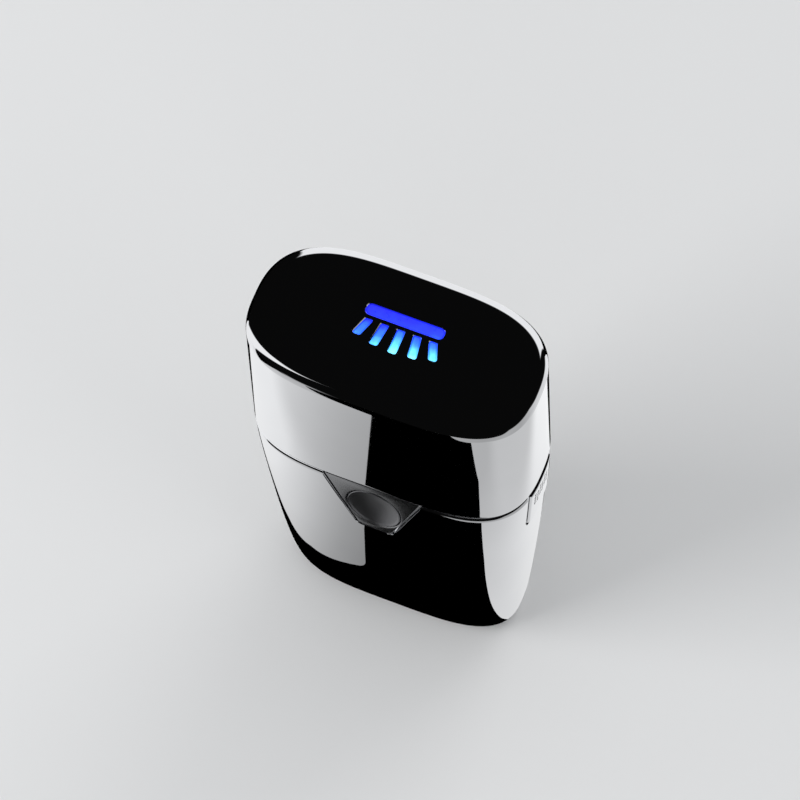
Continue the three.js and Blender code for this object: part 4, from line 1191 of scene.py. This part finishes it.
def grid_card(name, P, glow_values, close_u=False):
    """A card from a grid of points (metres) with its brightness at each point."""
    n0, n1 = P.shape[:2]
    faces = []
    for a in range(n0 - 1):
        for b in range(n1 - (0 if close_u else 1)):
            faces.append((a * n1 + b, a * n1 + (b + 1) % n1, (a + 1) * n1 + (b + 1) % n1, (a + 1) * n1 + b))
    me = bpy.data.meshes.new(name)
    me.from_pydata([tuple(p) for p in P.reshape(-1, 3)], [], faces)
    at = me.attributes.new("glow", "FLOAT", "POINT")
    at.data.foreach_set("value", np.asarray(glow_values, np.float32).ravel())
    o = bpy.data.objects.new(name, me)
    bpy.context.scene.collection.objects.link(o)
    me.materials.append(card_material(name + "_light"))
    only_reflected(o)
    return o


# the table as the plating sees it (mm): a bright sweep, with black cards lying on it
u = np.linspace(-4.4, 4.4, 241)
gx, gy = np.meshgrid(45 * np.sinh(u), 45 * np.sinh(u))
reach = np.hypot(gx, gy)


def sweep(az):
    """How bright the sweep is in each direction, measured from +Y towards +X."""
    return np.interp(az, [-180, -157, -142, -127, -114, -85, -60, -35, 35, 50, 67, 82, 97, 120, 150, 180],
                     [0.45, 0.52, 0.64, 0.72, 0.95, 0.95, 0.90, 0.95, 0.92, 0.90, 0.74, 0.52, 0.42, 0.46, 0.40, 0.45])


left = np.interp(-gx, [10, 17, 25, 35, 50, 70], [0.28, 0.36, 0.49, 0.66, 0.86, 0.92])
left = left + (np.interp(-gx, [15, 27, 42, 62, 90], [0.38, 0.47, 0.60, 0.74, 0.90]) - left) * smooth(-gy, 40, 58)
right = 0.76 + 0.0045 * np.clip(gy, -57, 60)
right = right + (0.61 - right) * smooth(gx, 52, 70)
near = np.where(gx > 0, right, left)
near = np.where(gy > 70, 0.9, near)
level = near + (sweep(np.degrees(np.arctan2(gx, gy))) - near) * smooth(reach, 80, 125)
floor_card = grid_card("table_reflection", np.stack([gx, gy, np.full_like(gx, -0.05)], -1) * MM, level)


def table_shade(name, outline):
    P = np.array([[(x, y, -0.02) for x, y in outline]]) * MM
    me = bpy.data.meshes.new(name)
    me.from_pydata([tuple(p) for p in P[0]], [], [tuple(range(len(outline)))])
    at = me.attributes.new("glow", "FLOAT", "POINT")
    at.data.foreach_set("value", np.zeros(len(outline), np.float32))
    o = bpy.data.objects.new(name, me)
    bpy.context.scene.collection.objects.link(o)
    me.materials.append(card_material(name + "_black"))
    only_reflected(o)


table_shade("table_shade_middle", rounded(
    [(-576, -1830), (-22.4, -70.6), (-17.3, -54.4), (-12.9, -33), (-9.2, -21.3), (-24.6, -15.8), (-34.4, -8.8), (-42.1, 0), (-48.7, 7.7),
     (-57, 14), (-77, 14), (-1830, 96), (-1830, 1830), (-1281, 1830), (-33, 50), (-5, 75), (24, 168), (131, 325), (1140, 1830), (1489, 1830),
     (135, 179), (35, 57), (22, 20), (24.8, -6.6), (29.2, -17.5), (32.5, -26.3), (35.1, -37.3), (39.4, -51), (40.6, -58), (31, -78), (31, -120), (132, -1830)],
    [0, 3, 3, 3, 1.6, 3, 4, 4, 4, 3, 3, 0, 0, 0, 3, 3, 10, 10, 0, 0, 3, 3, 4, 4, 4, 3, 3, 2, 2, 3, 5, 0], 6))
table_shade("table_shade_left", [(-128, -88), (-1830, -1129), (-1830, -1830), (-1077, -1830), (-136, -104)])

# dome: soft boxes in a dark room
th = np.linspace(0, 2 * np.pi, 481)[:-1]
el = np.linspace(-5, 90, 191)
TH, ELV = np.meshgrid(th, el)
azd = np.degrees(TH) - 180  # measured from +Y towards +X


def span(v, a, b, s):
    return smooth(v, a - s, a + s) * (1 - smooth(v, b - s, b + s))


up_el = np.maximum(ELV, 0)
back_top = 46 + 5 * smooth(-azd, 8, 30)
back = 0.95 * span(azd, -34, 31, 1.2) * (1 - smooth(ELV, back_top - 4, back_top + 4))
left_box = 0.97 * smooth(azd, -124 - 0.33 * np.maximum(0, up_el - 8), -121 - 0.33 * np.maximum(0, up_el - 8)) \
    * (1 - smooth(azd, -92.5 - 0.29 * up_el, -89.5 - 0.29 * up_el)) * (1 - smooth(ELV, 66, 72))
front_strip = 0.46 * span(azd, -166, -153, 3) * (1 - smooth(ELV, 2, 12))
right_top = np.interp(azd, [40, 70, 78, 118, 126, 146], [3, 3, 16, 16, 5, -15])
right_box = sweep(azd) * span(azd, 40, 150, 2) * (1 - smooth(ELV, right_top - 4, right_top + 4))
dome = np.maximum.reduce([back, left_box, front_strip, right_box, np.full_like(azd, 0.003)])
az_r, el_r = np.radians(azd), np.radians(ELV)
D = np.stack([np.sin(az_r) * np.cos(el_r), np.cos(az_r) * np.cos(el_r), np.sin(el_r)], -1) * 2.6
dome_card = grid_card("room_reflection", D, dome, close_u=True)


def paper():
    m = M("studio_paper")
    v = m.noise(3, 4, 0.5)
    m.l(m.mix(m.remap(v, 0, 1, 0.3, 0.7), (0.76, 0.76, 0.76), (0.80, 0.80, 0.80)), m.b.inputs["Base Color"])
    m.set(Roughness=0.85)
    m.b.inputs["Specular IOR Level"].default_value = 0.2
    m.bump(m.noise(900, 3, 0.6), 0.05, 0.0001)
    return m.mat


bm = bmesh.new()
bmesh.ops.create_grid(bm, x_segments=8, y_segments=8, size=6)
fm = bpy.data.meshes.new("studio_floor")
bm.to_mesh(fm)
bm.free()
floor = bpy.data.objects.new("studio_floor", fm)
bpy.context.scene.collection.objects.link(floor)
floor.location = (0, 0, -0.0001)
fm.materials.append(paper())
floor.visible_glossy = False


def area(name, loc, aim, size, watts, glossy=False):
    ld = bpy.data.lights.new(name, "AREA")
    ld.shape = "RECTANGLE"
    ld.size, ld.size_y = size
    ld.energy = watts
    lo = bpy.data.objects.new(name, ld)
    bpy.context.scene.collection.objects.link(lo)
    lo.location = loc
    d = Vector(aim) - Vector(loc)
    lo.rotation_mode = "QUATERNION"
    lo.rotation_quaternion = d.to_track_quat("-Z", "Y")
    lo.visible_glossy = glossy
    return lo


area("key_left", (-0.75, -0.55, 0.75), (0, 0, 0.06), (0.6, 0.6), 6.5)
area("fill_back", (0.25, 0.9, 0.8), (0, 0, 0.06), (0.7, 0.4), 2.6)
area("fill_right", (0.9, -0.2, 0.5), (0, 0, 0.06), (0.5, 0.5), 1.2)

world = bpy.data.worlds.new("studio_world")
bpy.context.scene.world = world
world.use_nodes = True
wt = world.node_tree
wt.nodes["Background"].inputs[0].default_value = (0.96, 0.98, 1.0, 1)
wt.nodes["Background"].inputs[1].default_value = 0.55

bpy.context.scene.view_settings.view_transform = "Standard"
bpy.context.scene.view_settings.look = "None"
bpy.context.scene.view_settings.exposure = 0.0
